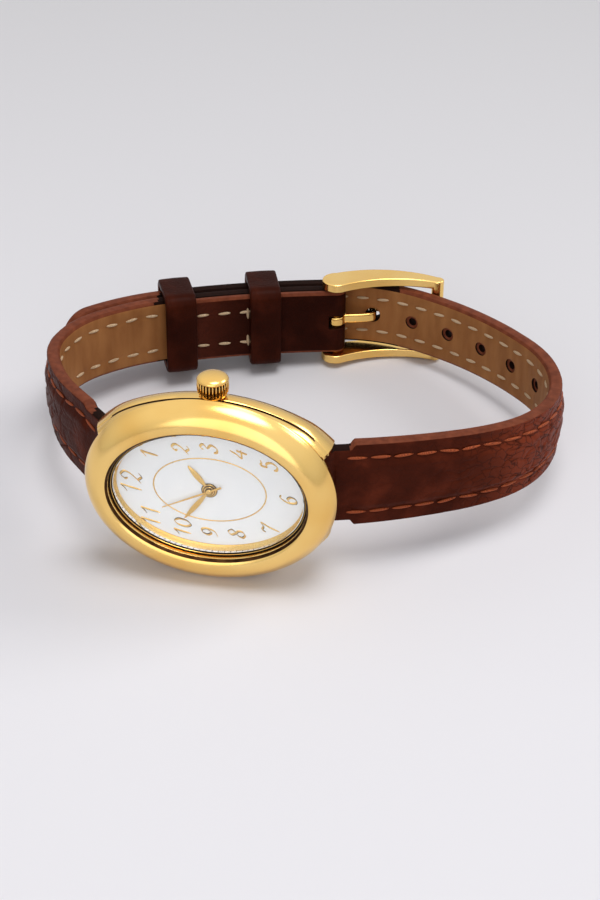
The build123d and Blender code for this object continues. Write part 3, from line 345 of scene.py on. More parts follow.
# making meshes, from points in the watch's mm
def makePiece(name, points, faces, looks, lookOf=None, strip=None, sharp=None):
    mesh = bpy.data.meshes.new(name)
    mesh.from_pydata([stand(p) for p in points], [], faces)
    for look in looks:
        mesh.materials.append(look)
    if lookOf:
        mesh.polygons.foreach_set("material_index", lookOf)
    if strip:
        layer = mesh.uv_layers.new(name="along")
        for loop in mesh.loops:
            layer.data[loop.index].uv = strip[loop.vertex_index]
    work = bmesh.new()
    work.from_mesh(mesh)
    bmesh.ops.recalc_face_normals(work, faces=work.faces)
    work.to_mesh(mesh)
    work.free()
    mesh.shade_smooth()
    if sharp:
        mesh.set_sharp_from_angle(angle=math.radians(sharp))
    piece = bpy.data.objects.new(name, mesh)
    bpy.context.collection.objects.link(piece)
    return piece


def settle(piece):  # its modifiers become plain mesh
    ready = piece.evaluated_get(bpy.context.evaluated_depsgraph_get())
    mesh = bpy.data.meshes.new_from_object(ready)
    piece.modifiers.clear()
    old, piece.data = piece.data, mesh
    mesh.name = piece.name
    bpy.data.meshes.remove(old)
    return piece


def onto(piece, body, slotName, *nodes):
    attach(piece, body)
    if nodes:
        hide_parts(*nodes)


def circle(count):  # the cosine and sine of each step round a circle
    return [(math.cos(2 * math.pi * n / count), math.sin(2 * math.pi * n / count)) for n in range(count)]


def loft(rows, closed=False):
    width, count = len(rows[0]), len(rows)
    points = [p for row in rows for p in row]
    faces = []
    for i in range(count if closed else count - 1):
        here, there = i * width, (i + 1) % count * width
        for j in range(width):
            k = (j + 1) % width
            faces.append((here + j, here + k, there + k, there + j))
    if not closed:
        faces.append(tuple(range(width - 1, -1, -1)))
        faces.append(tuple(range((count - 1) * width, count * width)))
    return points, faces


def gather(points, faces, part):  # one more loft in the same mesh
    some, cells = part
    faces += [tuple(i + len(points) for i in cell) for cell in cells]
    points += some
    return len(cells)


def smoothLine(points, steps):  # a curve through all the points
    ends = [points[0], *points, points[-1]]
    line = []
    for n in range(len(points) - 1):
        p = [Vector(ends[n + k]) for k in range(4)]
        for s in range(steps):
            t = s / steps
            line.append(0.5 * (2 * p[1] + (p[2] - p[0]) * t + (2 * p[0] - 5 * p[1] + 4 * p[2] - p[3]) * t * t
                               + (3 * p[1] - p[0] - 3 * p[2] + p[3]) * t ** 3))
    line.append(Vector(points[-1]))
    return line


def soft(t):
    t = max(0.0, min(1.0, t))
    return t * t * (3 - 2 * t)


# the oval rings: bezel, seal, crystal and dial ring
ovals = {
    "opening": (26.0, 18.6), "bezel": (33.2, 26.8), "around": 288,
    "bezelCurve": [  # share of the way from the opening to the rim, and depth
        (0.0, 0.0), (0.0, -1.0), (0.002, -1.60), (0.025, -1.85), (0.075, -2.05), (0.145, -2.20),
        (0.225, -2.28), (0.32, -2.29), (0.43, -2.20), (0.54, -2.02), (0.65, -1.74), (0.75, -1.38),
        (0.84, -0.97), (0.915, -0.52), (0.97, -0.06), (1.0, 0.22), (0.995, 0.36), (0.96, 0.43),
        (0.90, 0.45), (0.88, 0.7), (0.5, 0.7),
    ],
    "bezelSteps": 4, "paintedShadeLine": (6, 13), "paintedShadeTuck": 5,  # steps along the curve; the line and the tuck get painted shade
    "sealDrop": (-1.10, -0.1), "sealRound": (0.06, 0.05), "sealRows": [(0.0, 0.34), (0.62, 0.80)],
    "lip": (0.35, 0.61, -1.14), "lipRound": (0.1, 0.06),
    "crystalDepth": (-1.0, 0.0), "crystalEdge": 0.2, "crystalInside": 0.8,
    "ringDepth": (-0.02, 0.62), "ringInside": (24.7, 16.8),
}


def ovalLoft(rows):  # length, width and depth of each oval
    columns = [[(a / 2 * c, y, b / 2 * s) for a, b, y in rows] for c, s in circle(ovals["around"])]
    return loft(columns, closed=True)


def ovalRing(name, rows, look, sharp=None):
    return makePiece(name, *ovalLoft(rows), [look], sharp=sharp)


def between(share):
    (a0, b0), (a1, b1) = ovals["opening"], ovals["bezel"]
    return a0 + (a1 - a0) * share, b0 + (b1 - b0) * share


curve = [Vector((s, y, 0)) for s, y in ovals["bezelCurve"]]
rounded = smoothLine(curve[1:-3], ovals["bezelSteps"]) + [*curve[-3:], curve[0]]
bezel = ovalRing("bezelDome", [(*between(p[0]), p[1]) for p in rounded], gold, 50)
bezel.data.materials.append(groove)
firstPaintedShade, endPaintedShade = ovals["paintedShadeLine"]
for face in bezel.data.polygons:  # a painted dark reflection edges the opening, and the tuck behind the rim gets painted shade
    column = face.index % len(rounded)
    tucked = column >= len(rounded) - ovals["paintedShadeTuck"]
    face.material_index = 1 if tucked or firstPaintedShade <= column < endPaintedShade else 0
onto(bezel, "case", "gold", "bezel")

a, b = ovals["opening"]
top, bottom = ovals["sealDrop"]
inset, drop = ovals["sealRound"]
points, faces = [], []
for near, far in ovals["sealRows"]:
    rows = [(near, bottom), (near, top + drop), (near + inset, top), (far - inset, top), (far, top + drop),
            (far, bottom)]
    gather(points, faces, ovalLoft([(a - w, b - w, y) for w, y in rows]))
sealRing = makePiece("crystalSeal", points, faces, [seal], sharp=50)
onto(sealRing, "case", "seal", "crystal_gasket")
near, far, lipTop = ovals["lip"]
inset, drop = ovals["lipRound"]
lipRing = ovalRing("crystalLip", [
    (a - near, b - near, bottom), (a - near, b - near, lipTop + drop),
    (a - near - inset, b - near - inset, lipTop), (a - far + inset, b - far + inset, lipTop),
    (a - far, b - far, lipTop + drop), (a - far, b - far, bottom)], gold, 50)
onto(lipRing, "case", "gold", "dial_ring")

c, d = ovals["ringInside"]
front, back = ovals["ringDepth"]
innerRing = ovalRing("dialRing", [
    (a - 0.06, b - 0.06, back), (a - 0.06, b - 0.06, front), (a - 0.6, b - 0.6, front),
    (a - 0.85, b - 0.95, 0.22), (c, d, 0.5), (c, d, back)], handGold, 40)
onto(innerRing, "case", "gold", "dial_ring")


def ovalPlate(name, rows, look):
    return makePiece(name, *loft([[(a / 2 * c, y, b / 2 * s) for c, s in circle(192)] for a, b, y in rows]),
                     [look], sharp=30)


front, back = ovals["crystalDepth"]
edge, inside = ovals["crystalEdge"], ovals["crystalInside"]
crystal = ovalPlate("crystalGlass", [
    (a - inside, b - inside, back), (a - inside, b - inside, front + edge / 2),
    (a - inside - edge, b - inside - edge, front)], slotLooks["crystal"])
onto(crystal, "case", "crystal", "crystal")
print("oval rings made")


# case: the band runs out into four lugs, lofted from the front to the back
case = {
    "half": (15.9, 12.7), "gap": 6.0, "pocket": 12.3, "paintedShadeTo": 13.2,
    "flowing": [(0, 12.7), (2, 12.62), (4.5, 12.3), (7, 11.72), (9.3, 10.95), (11, 10.2), (12.4, 9.38),
                (13.5, 8.45), (14.5, 7.45), (15.35, 6.55)],
    "levels": [  # depth, reach of the lugs, drawn-in rim, pocket open
        (0.70, 0.50, 0.24, 0), (0.80, 0.62, 0.12, 0), (1.20, 0.74, 0.10, 0), (1.54, 0.80, 0.12, 0),
        (1.58, 0.81, 0.26, 0), (1.84, 0.85, 0.26, 0), (1.90, 0.86, 0.06, 0), (2.0, 0.88, 0.0, 0),
        (2.55, 0.94, 0.0, 0),
        (2.58, 0.945, 0.0, 1), (3.10, 1.0, 0.02, 1), (3.9, 1.0, 0.25, 1), (4.6, 1.0, 0.62, 1),
        (5.2, 0.99, 1.02, 1), (5.5, 0.96, 1.30, 1), (5.7, 0.91, 1.68, 1),
    ],
    # the last entry: levels between which the band gets a line of painted shade
    "front": (13.4, 9.7, 1.2), "back": (12.0, 10.4, 5.72), "paintedShadeLevels": (4, 7),
}
lugLine = [(p.x, p.y) for p in smoothLine([Vector((x, z, 0)) for x, z in case["flowing"]], 5)]


def bandQuarter(depth, reach, inset, pocket, folded=False):
    a, b = case["half"][0] - inset, case["half"][1] - inset
    gap, drawn = case["gap"], 1 - b / case["half"][1]

    def rim(z):
        return a * math.sqrt(max(0, 1 - (z / b) ** 2))

    places = []
    for n, (x, z) in enumerate(lugLine):
        z *= 1 - drawn * (1 - 0.55 * soft(2 * n / (len(lugLine) - 1) - 1))
        places.append((rim(z) + (x - rim(z)) * reach, z))
    tipX, tipZ = places[-1]
    for n in range(1, 5):
        places.append((tipX - (0.1 if n == 4 else 0), tipZ + (gap - tipZ) * n / 4))
    inner = case["pocket"] if pocket else rim(gap)
    for n in range(1, 6):
        places.append((tipX + (inner - tipX) * n / 5, gap))
    for n in range(1, 9):
        z = gap * (1 - n / 8)
        places.append((inner if pocket else rim(z), z))
    if folded:
        places = [(min(x, case["pocket"]), z) for x, z in places]
    return [(x, depth, z) for x, z in places]


def allRound(quarter):
    right = quarter + [(x, y, -z) for x, y, z in quarter[-2::-1]]
    return right + [(-x, y, z) for x, y, z in right[-2:0:-1]]


def ovalMatched(quarter, a, b, y):
    places = []
    for x, _, z in quarter:
        turn = math.atan2(z / b, x / a)
        places.append((a * math.cos(turn), y, b * math.sin(turn)))
    return places


levels = [bandQuarter(*level) for level in case["levels"]]
folded = bandQuarter(*case["levels"][-1], folded=True)
rows = [ovalMatched(levels[0], *case["front"]), *levels, folded, ovalMatched(folded, *case["back"])]
points, faces = loft([allRound(row) for row in rows])
around = len(rows[0]) * 4 - 4
looks = [0] * len(faces)
firstPaintedShade, endPaintedShade = case["paintedShadeLevels"]
for i in range(firstPaintedShade * around, endPaintedShade * around):  # a painted shade line turned round the band, as far as the lugs
    if abs(points[i][0]) < case["paintedShadeTo"] and abs(points[i][2]) > case["gap"]:
        looks[i] = 1
caseBand = makePiece("caseBand", points, faces, [gold, groove], looks)
work = bmesh.new()
work.from_mesh(caseBand.data)
bmesh.ops.remove_doubles(work, verts=work.verts, dist=2e-6)
bmesh.ops.recalc_face_normals(work, faces=work.faces)
work.to_mesh(caseBand.data)
work.free()
caseBand.data.set_sharp_from_angle(angle=math.radians(30))
onto(caseBand, "case", "gold", "case_middle")
print("case band made")


# numerals and track on the dial
numerals = {
    "face": 0.65, "thickness": 0.07, "thin": 0.035, "thick": 0.15, "nib": math.radians(38), "slant": 0.16,
    "sunk": 0.005, "firstLow": 6, "lowFlat": 0.45, "highFlat": 0.7,  # the lower ones get a painted dark reflection on one flank
    "height": {12: 2.75, 11: 2.5, 7: 2.4}, "usual": 2.2, "pitch": 0.66,
    "places": {  # towards six and towards the crown, mm
        12: (-10.4, 0.0), 1: (-7.8, 4.6), 2: (-3.75, 5.95), 3: (-0.05, 6.4), 4: (3.8, 6.1),
        5: (7.75, 4.75), 6: (10.3, -0.1), 7: (8.0, -4.9), 8: (3.5, -6.2), 9: (-0.05, -6.5),
        10: (-3.7, -6.2), 11: (-7.9, -4.95),
    },
}
digitLines = {  # right and up, in shares of a numeral's height
    "0": [[(.30, 1), (.10, .74), (.09, .27), (.29, 0), (.50, .26), (.51, .73), (.31, 1)]],
    "1": [[(.06, .72), (.20, .82), (.36, 1), (.33, .6), (.30, 0)]],
    "2": [[(.17, .66), (.09, .80), (.26, 1), (.49, .82), (.42, .52), (.20, .22), (.02, .02)],
          [(.02, .03), (.18, .13), (.36, 0), (.56, .13)]],
    "3": [[(.12, .80), (.28, 1), (.48, .82), (.24, .56)],
          [(.24, .56), (.52, .36), (.42, .04), (.16, 0), (.05, .18)]],
    "4": [[(.38, 1), (.22, .62), (.03, .32), (.28, .31), (.57, .35)], [(.46, .62), (.41, .3), (.36, -.02)]],
    "5": [[(.56, 1), (.36, .94), (.20, .96), (.15, .58)],
          [(.15, .58), (.38, .64), (.52, .36), (.36, .03), (.12, .03), (.06, .2)]],
    "6": [[(.52, .94), (.30, .96), (.09, .52), (.18, .06), (.42, .06), (.50, .36), (.32, .55), (.13, .38)]],
    "7": [[(.03, .76), (.12, .95), (.34, .90), (.56, 1), (.38, .56), (.24, 0)]],
    "8": [[(.45, .88), (.28, 1), (.12, .82), (.25, .58), (.46, .38), (.46, .13), (.27, 0), (.08, .14),
           (.14, .40), (.36, .58), (.47, .76), (.45, .88)]],
    "9": [[(.46, .64), (.28, .42), (.09, .62), (.17, .94), (.40, .96), (.51, .62), (.40, .20), (.10, .03)]],
}


def penStroke(line, origin, height, flat):
    rows = []
    for n, here in enumerate(line):
        ahead = line[min(n + 1, len(line) - 1)] - line[max(n - 1, 0)]
        bearing = math.atan2(ahead.y, ahead.x)
        half = numerals["thin"] + numerals["thick"] * abs(math.sin(bearing - numerals["nib"]))
        half *= min(1, 0.35 + 6 * n / len(line), 0.35 + 6 * (len(line) - 1 - n) / len(line))
        side = Vector((-math.sin(bearing), math.cos(bearing), 0)) * half
        row = []
        for share, rise in ((-1, 0), (-flat, 1), (flat, 1), (1, 0)):
            p = here * height + side * share
            row.append((origin[0] - p.y, numerals["face"] - numerals["sunk"] - numerals["thickness"] * rise,
                        origin[1] + p.x + numerals["slant"] * (p.y - height / 2)))
        rows.append(row)
    return loft(rows)


points, faces, looks = [], [], []
for number, place in numerals["places"].items():
    height = numerals["height"].get(number, numerals["usual"])
    digits = str(number)
    for n, digit in enumerate(digits):
        left = place[1] + (n - len(digits) / 2) * numerals["pitch"] * height
        for stroke in digitLines[digit]:
            line = smoothLine([Vector((x, y, 0)) for x, y in stroke], 8)
            low = number >= numerals["firstLow"]
            flat = numerals["lowFlat"] if low else numerals["highFlat"]
            count = gather(points, faces, penStroke(line, (place[0] + height / 2, left), height, flat))
            # painted dark reflection on the left flank of the lower numerals
            looks += [1 if low and i % 4 == 0 else 0 for i in range(count - 2)] + [0, 0]
numeralRing = makePiece("numerals", points, faces, [handGold, groove], looks, sharp=35)
onto(numeralRing, "case", "gold_hands")

track = {"length": 14.84, "width": 9.44, "line": 0.2, "rise": 0.035}
a, b, w = track["length"], track["width"], track["line"]
face = numerals["face"]
trackLine = ovalRing("minuteTrack", [
    (a - w, b - w, face + 0.01), (a - w * 0.6, b - w * 0.6, face - track["rise"]),
    (a + w * 0.6, b + w * 0.6, face - track["rise"]), (a + w, b + w, face + 0.01)], handGold)
onto(trackLine, "case", "gold_hands")


# hands
hands = {
    "hour_hand": {"angle": 129, "length": 4.4, "width": 0.78, "front": 0.45,
                  "hub": 1.05, "hole": 0.69, "tail": 0},
    "minute_hand": {"angle": 234, "length": 5.7, "width": 0.68, "front": 0.28,
                    "hub": 0.78, "hole": 0.42, "tail": 0},
    "second_hand": {"angle": 207, "length": 7.0, "width": 0.24, "front": 0.10,
                    "hub": 0.5, "hole": 0.16, "tail": 1.8},
    "thickness": 0.1, "ridge": 0.05, "tip": 0.04,
    "cap": ((0.30, 0.12), (0.30, 0.09), (0.24, 0.055), (0.14, 0.035), (0.03, 0.03)),
}


def handRow(place, half, front, back, ridge, across):
    return [(place[0] + across[0] * k * half, y, place[1] + across[1] * k * half)
            for k, y in ((-1, back), (-1, front + 0.02), (0, front - ridge), (1, front + 0.02), (1, back))]


for name, hand in ((k, v) for k, v in hands.items() if isinstance(v, dict)):
    turn = math.radians(hand["angle"])
    way, across = (math.cos(turn), math.sin(turn)), (-math.sin(turn), math.cos(turn))
    front, back = hand["front"], hand["front"] + hands["thickness"]
    rows = []
    root = -hand["tail"] if hand["tail"] else hand["hole"] + 0.05
    for n in range(41):
        t = n / 40
        along = root + (hand["length"] - root) * t
        if hand["tail"]:
            half = hand["width"] / 2 * (1.25 - 0.75 * t)
        else:
            leaf = math.sin(math.pi * min(1, t * 0.97 + 0.03)) ** 0.8
            half = hands["tip"] + (hand["width"] / 2 - hands["tip"]) * leaf
        rows.append(handRow((way[0] * along, way[1] * along), half, front, back, hands["ridge"], across))
    points, faces = loft(rows)
    hub, hole = hand["hub"], hand["hole"]
    looks = [0] * len(faces)
    hubRows = ((hole, back), (hole, front + 0.01), (hole + 0.05, front - 0.03), (hub - 0.13, front - 0.03),
               (hub - 0.10, front + 0.01), (hub, front + 0.05), (hub, back))
    rings = [[(r * c, y, r * s) for r, y in hubRows] for c, s in circle(64)]
    count = gather(points, faces, loft(rings, closed=True))
    looks += [1 if i % len(hubRows) in (4, 5) else 0 for i in range(count)]  # the hub's outer edge gets painted shade
    if hand["tail"]:  # the cap over the middle
        cap = [[(r * c, y, r * s) for c, s in circle(48)] for r, y in hands["cap"]]
        looks += [0] * gather(points, faces, loft(cap))
    piece = makePiece(name.split("_")[0] + "Hand", points, faces, [handGold, groove], looks, sharp=25)
    onto(piece, name, "gold_hands", name)
print("dial and hands made")


# crown: a turned body with ribs set round it
crown = {
    "depth": 3.0, "base": 12.82, "around": 96, "paintedShadeLevels": (4, 5, 6), "ribs": 28,
    "ribRadius": 0.125, "ribReach": 1.925, "ribLow": 0.40, "ribHigh": 2.02,
    "turned": [(1.5, 0.0), (1.78, 0.0), (1.80, 0.05), (1.80, 0.30), (1.86, 0.34), (1.89, 0.40), (1.89, 2.02),
               (1.98, 2.04), (2.03, 2.08), (2.05, 2.14), (2.03, 2.22), (1.95, 2.36), (1.80, 2.50),
               (1.55, 2.63), (1.22, 2.73), (0.85, 2.80), (0.45, 2.84), (0.15, 2.85), (0.02, 2.85)],
}
rows = [[(r * c, crown["depth"] + r * s, crown["base"] + h) for c, s in circle(crown["around"])]
        for r, h in crown["turned"]]
points, faces = loft(rows)
# the turned body between the ribs gets painted shade in the flutes
looks = [1 if i // crown["around"] in crown["paintedShadeLevels"] else 0 for i in range(len(faces))]
crownPiece = makePiece("crownRibbed", points, faces, [gold, groove], looks, sharp=40)


def newTree(name, sizes):  # a modifier tree with its geometry socket first, then its sizes
    tree = bpy.data.node_groups.new(name, "GeometryNodeTree")
    tree.interface.new_socket("Geometry", in_out="INPUT", socket_type="NodeSocketGeometry")
    for key, kind in sizes:
        tree.interface.new_socket(key, in_out="INPUT", socket_type="NodeSocket" + kind)
    tree.interface.new_socket("Geometry", in_out="OUTPUT", socket_type="NodeSocketGeometry")
    given, result = tree.nodes.new("NodeGroupInput"), tree.nodes.new("NodeGroupOutput")
    return tree, given, result


def step(tree, kind, inputs=None, **settings):
    made = tree.nodes.new(kind)
    for key, value in settings.items():
        setattr(made, key, value)
    for key, value in (inputs or {}).items():
        if isinstance(value, bpy.types.NodeSocket):
            tree.links.new(value, made.inputs[key])
        else:
            made.inputs[key].default_value = value
    return made


def addTree(piece, tree, values):
    modifier = piece.modifiers.new(tree.name, "NODES")
    modifier.node_group = tree
    for item in tree.interface.items_tree:
        if item.in_out == "INPUT" and item.name in values:
            modifier[item.identifier] = values[item.name]


def ribTree(look):
    tree, given, result = newTree("ribsRoundCrown", (
        ("Count", "Int"), ("Reach", "Float"), ("Thickness", "Float"), ("Length", "Float"),
        ("Middle", "Vector"), ("Turn", "Rotation")))
    ring = step(tree, "GeometryNodeMeshCircle", {
        "Vertices": given.outputs["Count"], "Radius": given.outputs["Reach"]})
    ball = step(tree, "GeometryNodeMeshUVSphere", {"Segments": 8, "Rings": 6, "Radius": 1.0})
    size = step(tree, "ShaderNodeCombineXYZ", {0: given.outputs["Thickness"], 1: given.outputs["Thickness"],
                                               2: given.outputs["Length"]})
    ribs = step(tree, "GeometryNodeInstanceOnPoints", {
        "Points": ring.outputs[0], "Instance": ball.outputs["Mesh"], "Scale": size.outputs[0]})
    real = step(tree, "GeometryNodeRealizeInstances", {0: ribs.outputs[0]})
    placed = step(tree, "GeometryNodeTransform", {0: real.outputs[0], "Translation": given.outputs["Middle"],
                                                  "Rotation": given.outputs["Turn"]})
    shaded = step(tree, "GeometryNodeSetShadeSmooth", {0: placed.outputs[0]})
    painted = step(tree, "GeometryNodeSetMaterial", {0: shaded.outputs[0], "Material": look})
    both = step(tree, "GeometryNodeJoinGeometry")
    tree.links.new(painted.outputs[0], both.inputs[0])
    tree.links.new(given.outputs[0], both.inputs[0])
    tree.links.new(both.outputs[0], result.inputs[0])
    return tree


ribMiddle = crown["base"] + (crown["ribLow"] + crown["ribHigh"]) / 2
addTree(crownPiece, ribTree(gold), {
    "Count": crown["ribs"], "Reach": crown["ribReach"] / 1000, "Thickness": crown["ribRadius"] / 1000,
    "Length": (crown["ribHigh"] - crown["ribLow"]) / 1850, "Middle": stand((0, crown["depth"], ribMiddle)),
    "Turn": (restTilt, 0, 0)})
settle(crownPiece)
onto(crownPiece, "crown", "gold", "crown")
print("crown made")


# strap lines: rows of tangent arcs, from the spring bars
strap = {
    "bar": (14.0, 4.7), "thickness": 1.9, "lining": 0.6, "noseRadius": 1.5, "tailGap": 0.45,
    "shortLength": 69.3, "shortHeading": 44.0, "shortTurns": (3.0, 23.0, 62.0, 22.0, 13.0),
    "shortShares": (0.150, 0.153, 0.182, 0.162, 0.353),
    "longHeading": 15.3, "longTurns": (12.7, 11.4, 62.8, 30.1, 27.5), "longBend": 43.3,
    "longShares": (0.146, 0.376, 0.208, 0.270), "tailLength": 39.0, "tailRound": 4.2,
    "halfNose": 5.5, "halfWide": 6.4, "halfBuckle": 5.0, "halfTail": 4.8, "shoulder": 17.3,
    "taper": (4.7, 28.0), "step": 0.25, "fineNose": 3.2,
    "noseStart": -1.499,  # just inside the nose's radius
}


def walk(start, heading, lengths, turns):
    (x, y), bearing = start, heading
    for length, turn in zip(lengths, turns):
        radius = length / math.radians(turn)
        x += radius * (math.sin(math.radians(bearing + turn)) - math.sin(math.radians(bearing)))
        y += radius * (math.cos(math.radians(bearing)) - math.cos(math.radians(bearing + turn)))
        bearing += turn
    return (x, y), bearing


def stretch(line, first, last):
    lengths, turns, done = [], [], 0
    for length, turn in zip(line[2], line[3]):
        part = min(last, done + length) - max(first, done)
        if part > 0:
            lengths.append(part)
            turns.append(turn * part / length)
        done += length
    return lengths, turns


def spot(line, along, depth=0.0):
    if along < 0:
        bearing = math.radians(line[1])
        x, y = line[0][0] + along * math.cos(bearing), line[0][1] + along * math.sin(bearing)
        heading = line[1]
    else:
        (x, y), heading = walk(line[0], line[1], *stretch(line, 0, along))
    h = math.radians(heading)
    return (x + depth * math.sin(h), y - depth * math.cos(h)), heading


def strapStart(heading):
    h = math.radians(heading)
    side = strap["thickness"] / 2
    return strap["bar"][0] - side * math.sin(h), strap["bar"][1] + side * math.cos(h)


def layLines():
    lengths = [strap["shortLength"] * share for share in strap["shortShares"]]
    short = (strapStart(strap["shortHeading"]), strap["shortHeading"], lengths, list(strap["shortTurns"]))
    side = strap["thickness"] + strap["tailGap"]
    end, bearing = spot(short, strap["shortLength"], side)
    start, first = strapStart(strap["longHeading"]), strap["longHeading"]
    turns = [*strap["longTurns"], 360 - bearing - first - sum(strap["longTurns"])]
    headings = [first + sum(turns[:n]) for n in range(len(turns))]
    steps = [walk((0, 0), h, [1], [t])[0] for h, t in zip(headings, turns)]
    bends = [strap["longBend"] * share for share in strap["longShares"]]
    lengths = [0, *bends[:3], 0, bends[3]]
    way = (-end[0] - start[0], end[1] - start[1])
    left = [way[k] - sum(n * s[k] for n, s in zip(lengths, steps)) for k in (0, 1)]
    front, back = steps[0], steps[4]
    area = front[0] * back[1] - front[1] * back[0]
    lengths[0] = (left[0] * back[1] - left[1] * back[0]) / area
    lengths[4] = (front[0] * left[1] - front[1] * left[0]) / area
    landing = sum(lengths)
    tail = stretch(short, strap["shortLength"] - strap["tailLength"], strap["shortLength"])
    tailLengths = [n + side * math.radians(t) for n, t in zip(*tail)][::-1]
    return short, (start, first, [*lengths, *tailLengths], [*turns, *tail[1][::-1]]), landing


shortLine, longLine, landing = layLines()
longEnd = sum(longLine[2])
shortEnd = strap["shortLength"]
print("strap lines laid, long strap", round(longEnd, 1), "mm")


def frameAt(side, along, depth=0.0):  # a place on a strap, and the ways along it and out of it
    line, flip = (longLine, 1) if side == "long" else (shortLine, -1)
    (x, y), heading = spot(line, along, depth)
    h = math.radians(heading)
    return (Vector((flip * x, y, 0)), Vector((flip * math.cos(h), math.sin(h), 0)),
            Vector((flip * math.sin(h), -math.cos(h), 0)))


def halfWidth(side, along):
    place = frameAt(side, along)[0]
    low, high = strap["taper"]
    narrow = strap["halfTail"] if side == "long" else strap["halfBuckle"]
    t = max(0, min(1, (place.y - low) / (high - low)))
    wide = strap["halfWide"] + (narrow - strap["halfWide"]) * t
    grown = soft((abs(place.x) - strap["shoulder"] + 0.3) / 0.6) if along < 8 else 1
    half = strap["halfNose"] + (wide - strap["halfNose"]) * grown
    if side == "long":
        over = along - (longEnd - strap["tailRound"])
        if over > 0:
            r = strap["tailRound"]
            half += math.sqrt(max(0, r * r - over * over)) - r
    return half


relief = {
    "margin": 2.1, "groove": 0.12, "grooveWidth": 0.24,
    "pad": {"long": (2.5, 7, 40, 56), "short": (2.5, 7, 30, 38)},
    "padRise": 0.42, "corner": 0.32, "crack": 0.15, "cell": (3.2, 2.3), "crackWidth": 0.09,
    "pebble": 0.018, "seed": {"long": 3.0, "short": 17.0},
    "bent": {"long": (22, 46, 13), "short": (16, 30, 10)}, "across": 76,
}


def padHeight(side, along):
    rise, full, fall, flat = relief["pad"][side]
    swell = soft((along - rise) / (full - rise)) * (1 - soft((along - fall) / (flat - fall)))
    return relief["padRise"] * swell + 0.06


def embossing(side, along, across):
    seed = relief["seed"][side]
    wobble = noise.noise(Vector((along * 0.35, across * 0.35, seed))) * 0.8
    cellLong, cellWide = relief["cell"]
    at = Vector((along / cellLong + wobble, across / cellWide - wobble, seed))
    distances = noise.voronoi(at)[0]
    crack = math.exp(-((distances[1] - distances[0]) / relief["crackWidth"]) ** 2)
    low, high, blur = relief["bent"][side]
    bent = soft((along - low + blur) / blur) * (1 - soft((along - high) / blur))
    pebble = noise.noise(Vector((along * 1.7, across * 1.7, seed + 5)))
    return -relief["crack"] * crack * (0.25 + 0.75 * bent) + relief["pebble"] * pebble * (0.4 + bent)


def edgeDrop(inward, corner=0.25):  # how far a sheet's face drops near its edge
    return corner - math.sqrt(max(0, corner ** 2 - (corner - inward) ** 2)) if inward < corner else 0.0


def leatherRow(side, along):
    place, _, out = frameAt(side, along)
    half = halfWidth(side, along)
    middle, r = strap["thickness"] / 2, strap["noseRadius"]
    bulge = math.sqrt(max(0.0, r * r - along * along)) if along < r else 0
    low = min(middle - bulge, 0.0) if along < r + 0.03 else 0.3
    if along < 0:
        low = middle - bulge
    top = max(middle + bulge, strap["thickness"] - 0.1) if along >= 0 else middle + bulge
    pad = padHeight(side, along) if along > 0 else 0
    corner = min(relief["corner"], max(0.02, (top - low) * 0.4))
    row, strip = [], []
    for n in range(relief["across"] + 1):
        v = half * (2 * n / relief["across"] - 1)
        inward = half - abs(v)
        depth = top - edgeDrop(inward, corner)
        if along > 1.5:
            stitch = inward - relief["margin"]
            depth += pad * soft(stitch / 1.3)
            trough = math.exp(-(stitch / relief["grooveWidth"]) ** 2)
            depth -= relief["groove"] * trough * soft((along - 2.5) / 1)
            depth += embossing(side, along, v) * soft(inward / 0.5) * soft((along - 2) / 2)
        row.append(place + out * depth + Vector((0, 0, v)))
        strip.append((along, v))
    for k, share in ((1, 0.5), (1, 0.0), (0.33, 0.0), (-0.33, 0.0), (-1, 0.0), (-1, 0.5)):
        depth = low + (top - corner - low) * share
        row.append(place + out * depth + Vector((0, 0, half * k * (0.995 if share == 0 else 1))))
        strip.append((along, half * k))
    return row, strip


def stations(first, last, fineFirst=0.0, fineLast=0.0):
    places, here = [], first
    while here < last - 0.01:
        places.append(here)
        near = here < first + fineFirst or here > last - fineLast
        here += strap["step"] / (3 if near else 1)
    return [*places, last]


def sweepRows(name, side, alongs, rowMaker, look, across):
    made = [rowMaker(side, s) for s in alongs]
    points, faces = loft([row for row, _ in made])
    strip = [uv for _, some in made for uv in some]
    width = len(made[0][0])
    looks = []
    for i in range(len(faces) - 2):  # the face, else the painted edge; between the lugs the edge gets painted shade
        edge = 2 if abs(points[i][0]) < strap["shoulder"] - 0.1 else 1
        looks.append(0 if 1 <= i % width < across - 1 else edge)
    return makePiece(name, points, faces, [look, edgePaint, holeWallPaintedShade], looks + [1, 1], strip, 50)


cuts = {
    "holeRadius": 1.02, "outerRadius": 0.6, "tongueRadius": 1.16, "holePitch": 6.2, "holes": 7,
    "tongueHole": 6, "tongueOffset": 5.6, "slot": 2.2,
}


def cutter(rows, name):
    points, faces = loft(rows)
    return makePiece(name, points, faces, [holeWallPaintedShade])


def cutAway(piece, tool):
    modifier = piece.modifiers.new("cut", "BOOLEAN")
    modifier.operation, modifier.object, modifier.solver = "DIFFERENCE", tool, "EXACT"
    settle(piece)
    bpy.data.objects.remove(tool)


def punch(piece, radius, tongueRadius):
    for n in range(cuts["holes"]):
        reach = tongueRadius if n + 1 == cuts["tongueHole"] else radius
        along = landing - cuts["tongueOffset"] + (n + 1 - cuts["tongueHole"]) * cuts["holePitch"]
        place, way, out = frameAt("long", along)
        rows = [[place + out * depth + (way * c + Vector((0, 0, s))) * reach for c, s in circle(28)]
                for depth in (-1.2, 3.6)]
        cutAway(piece, cutter(rows, "punch"))


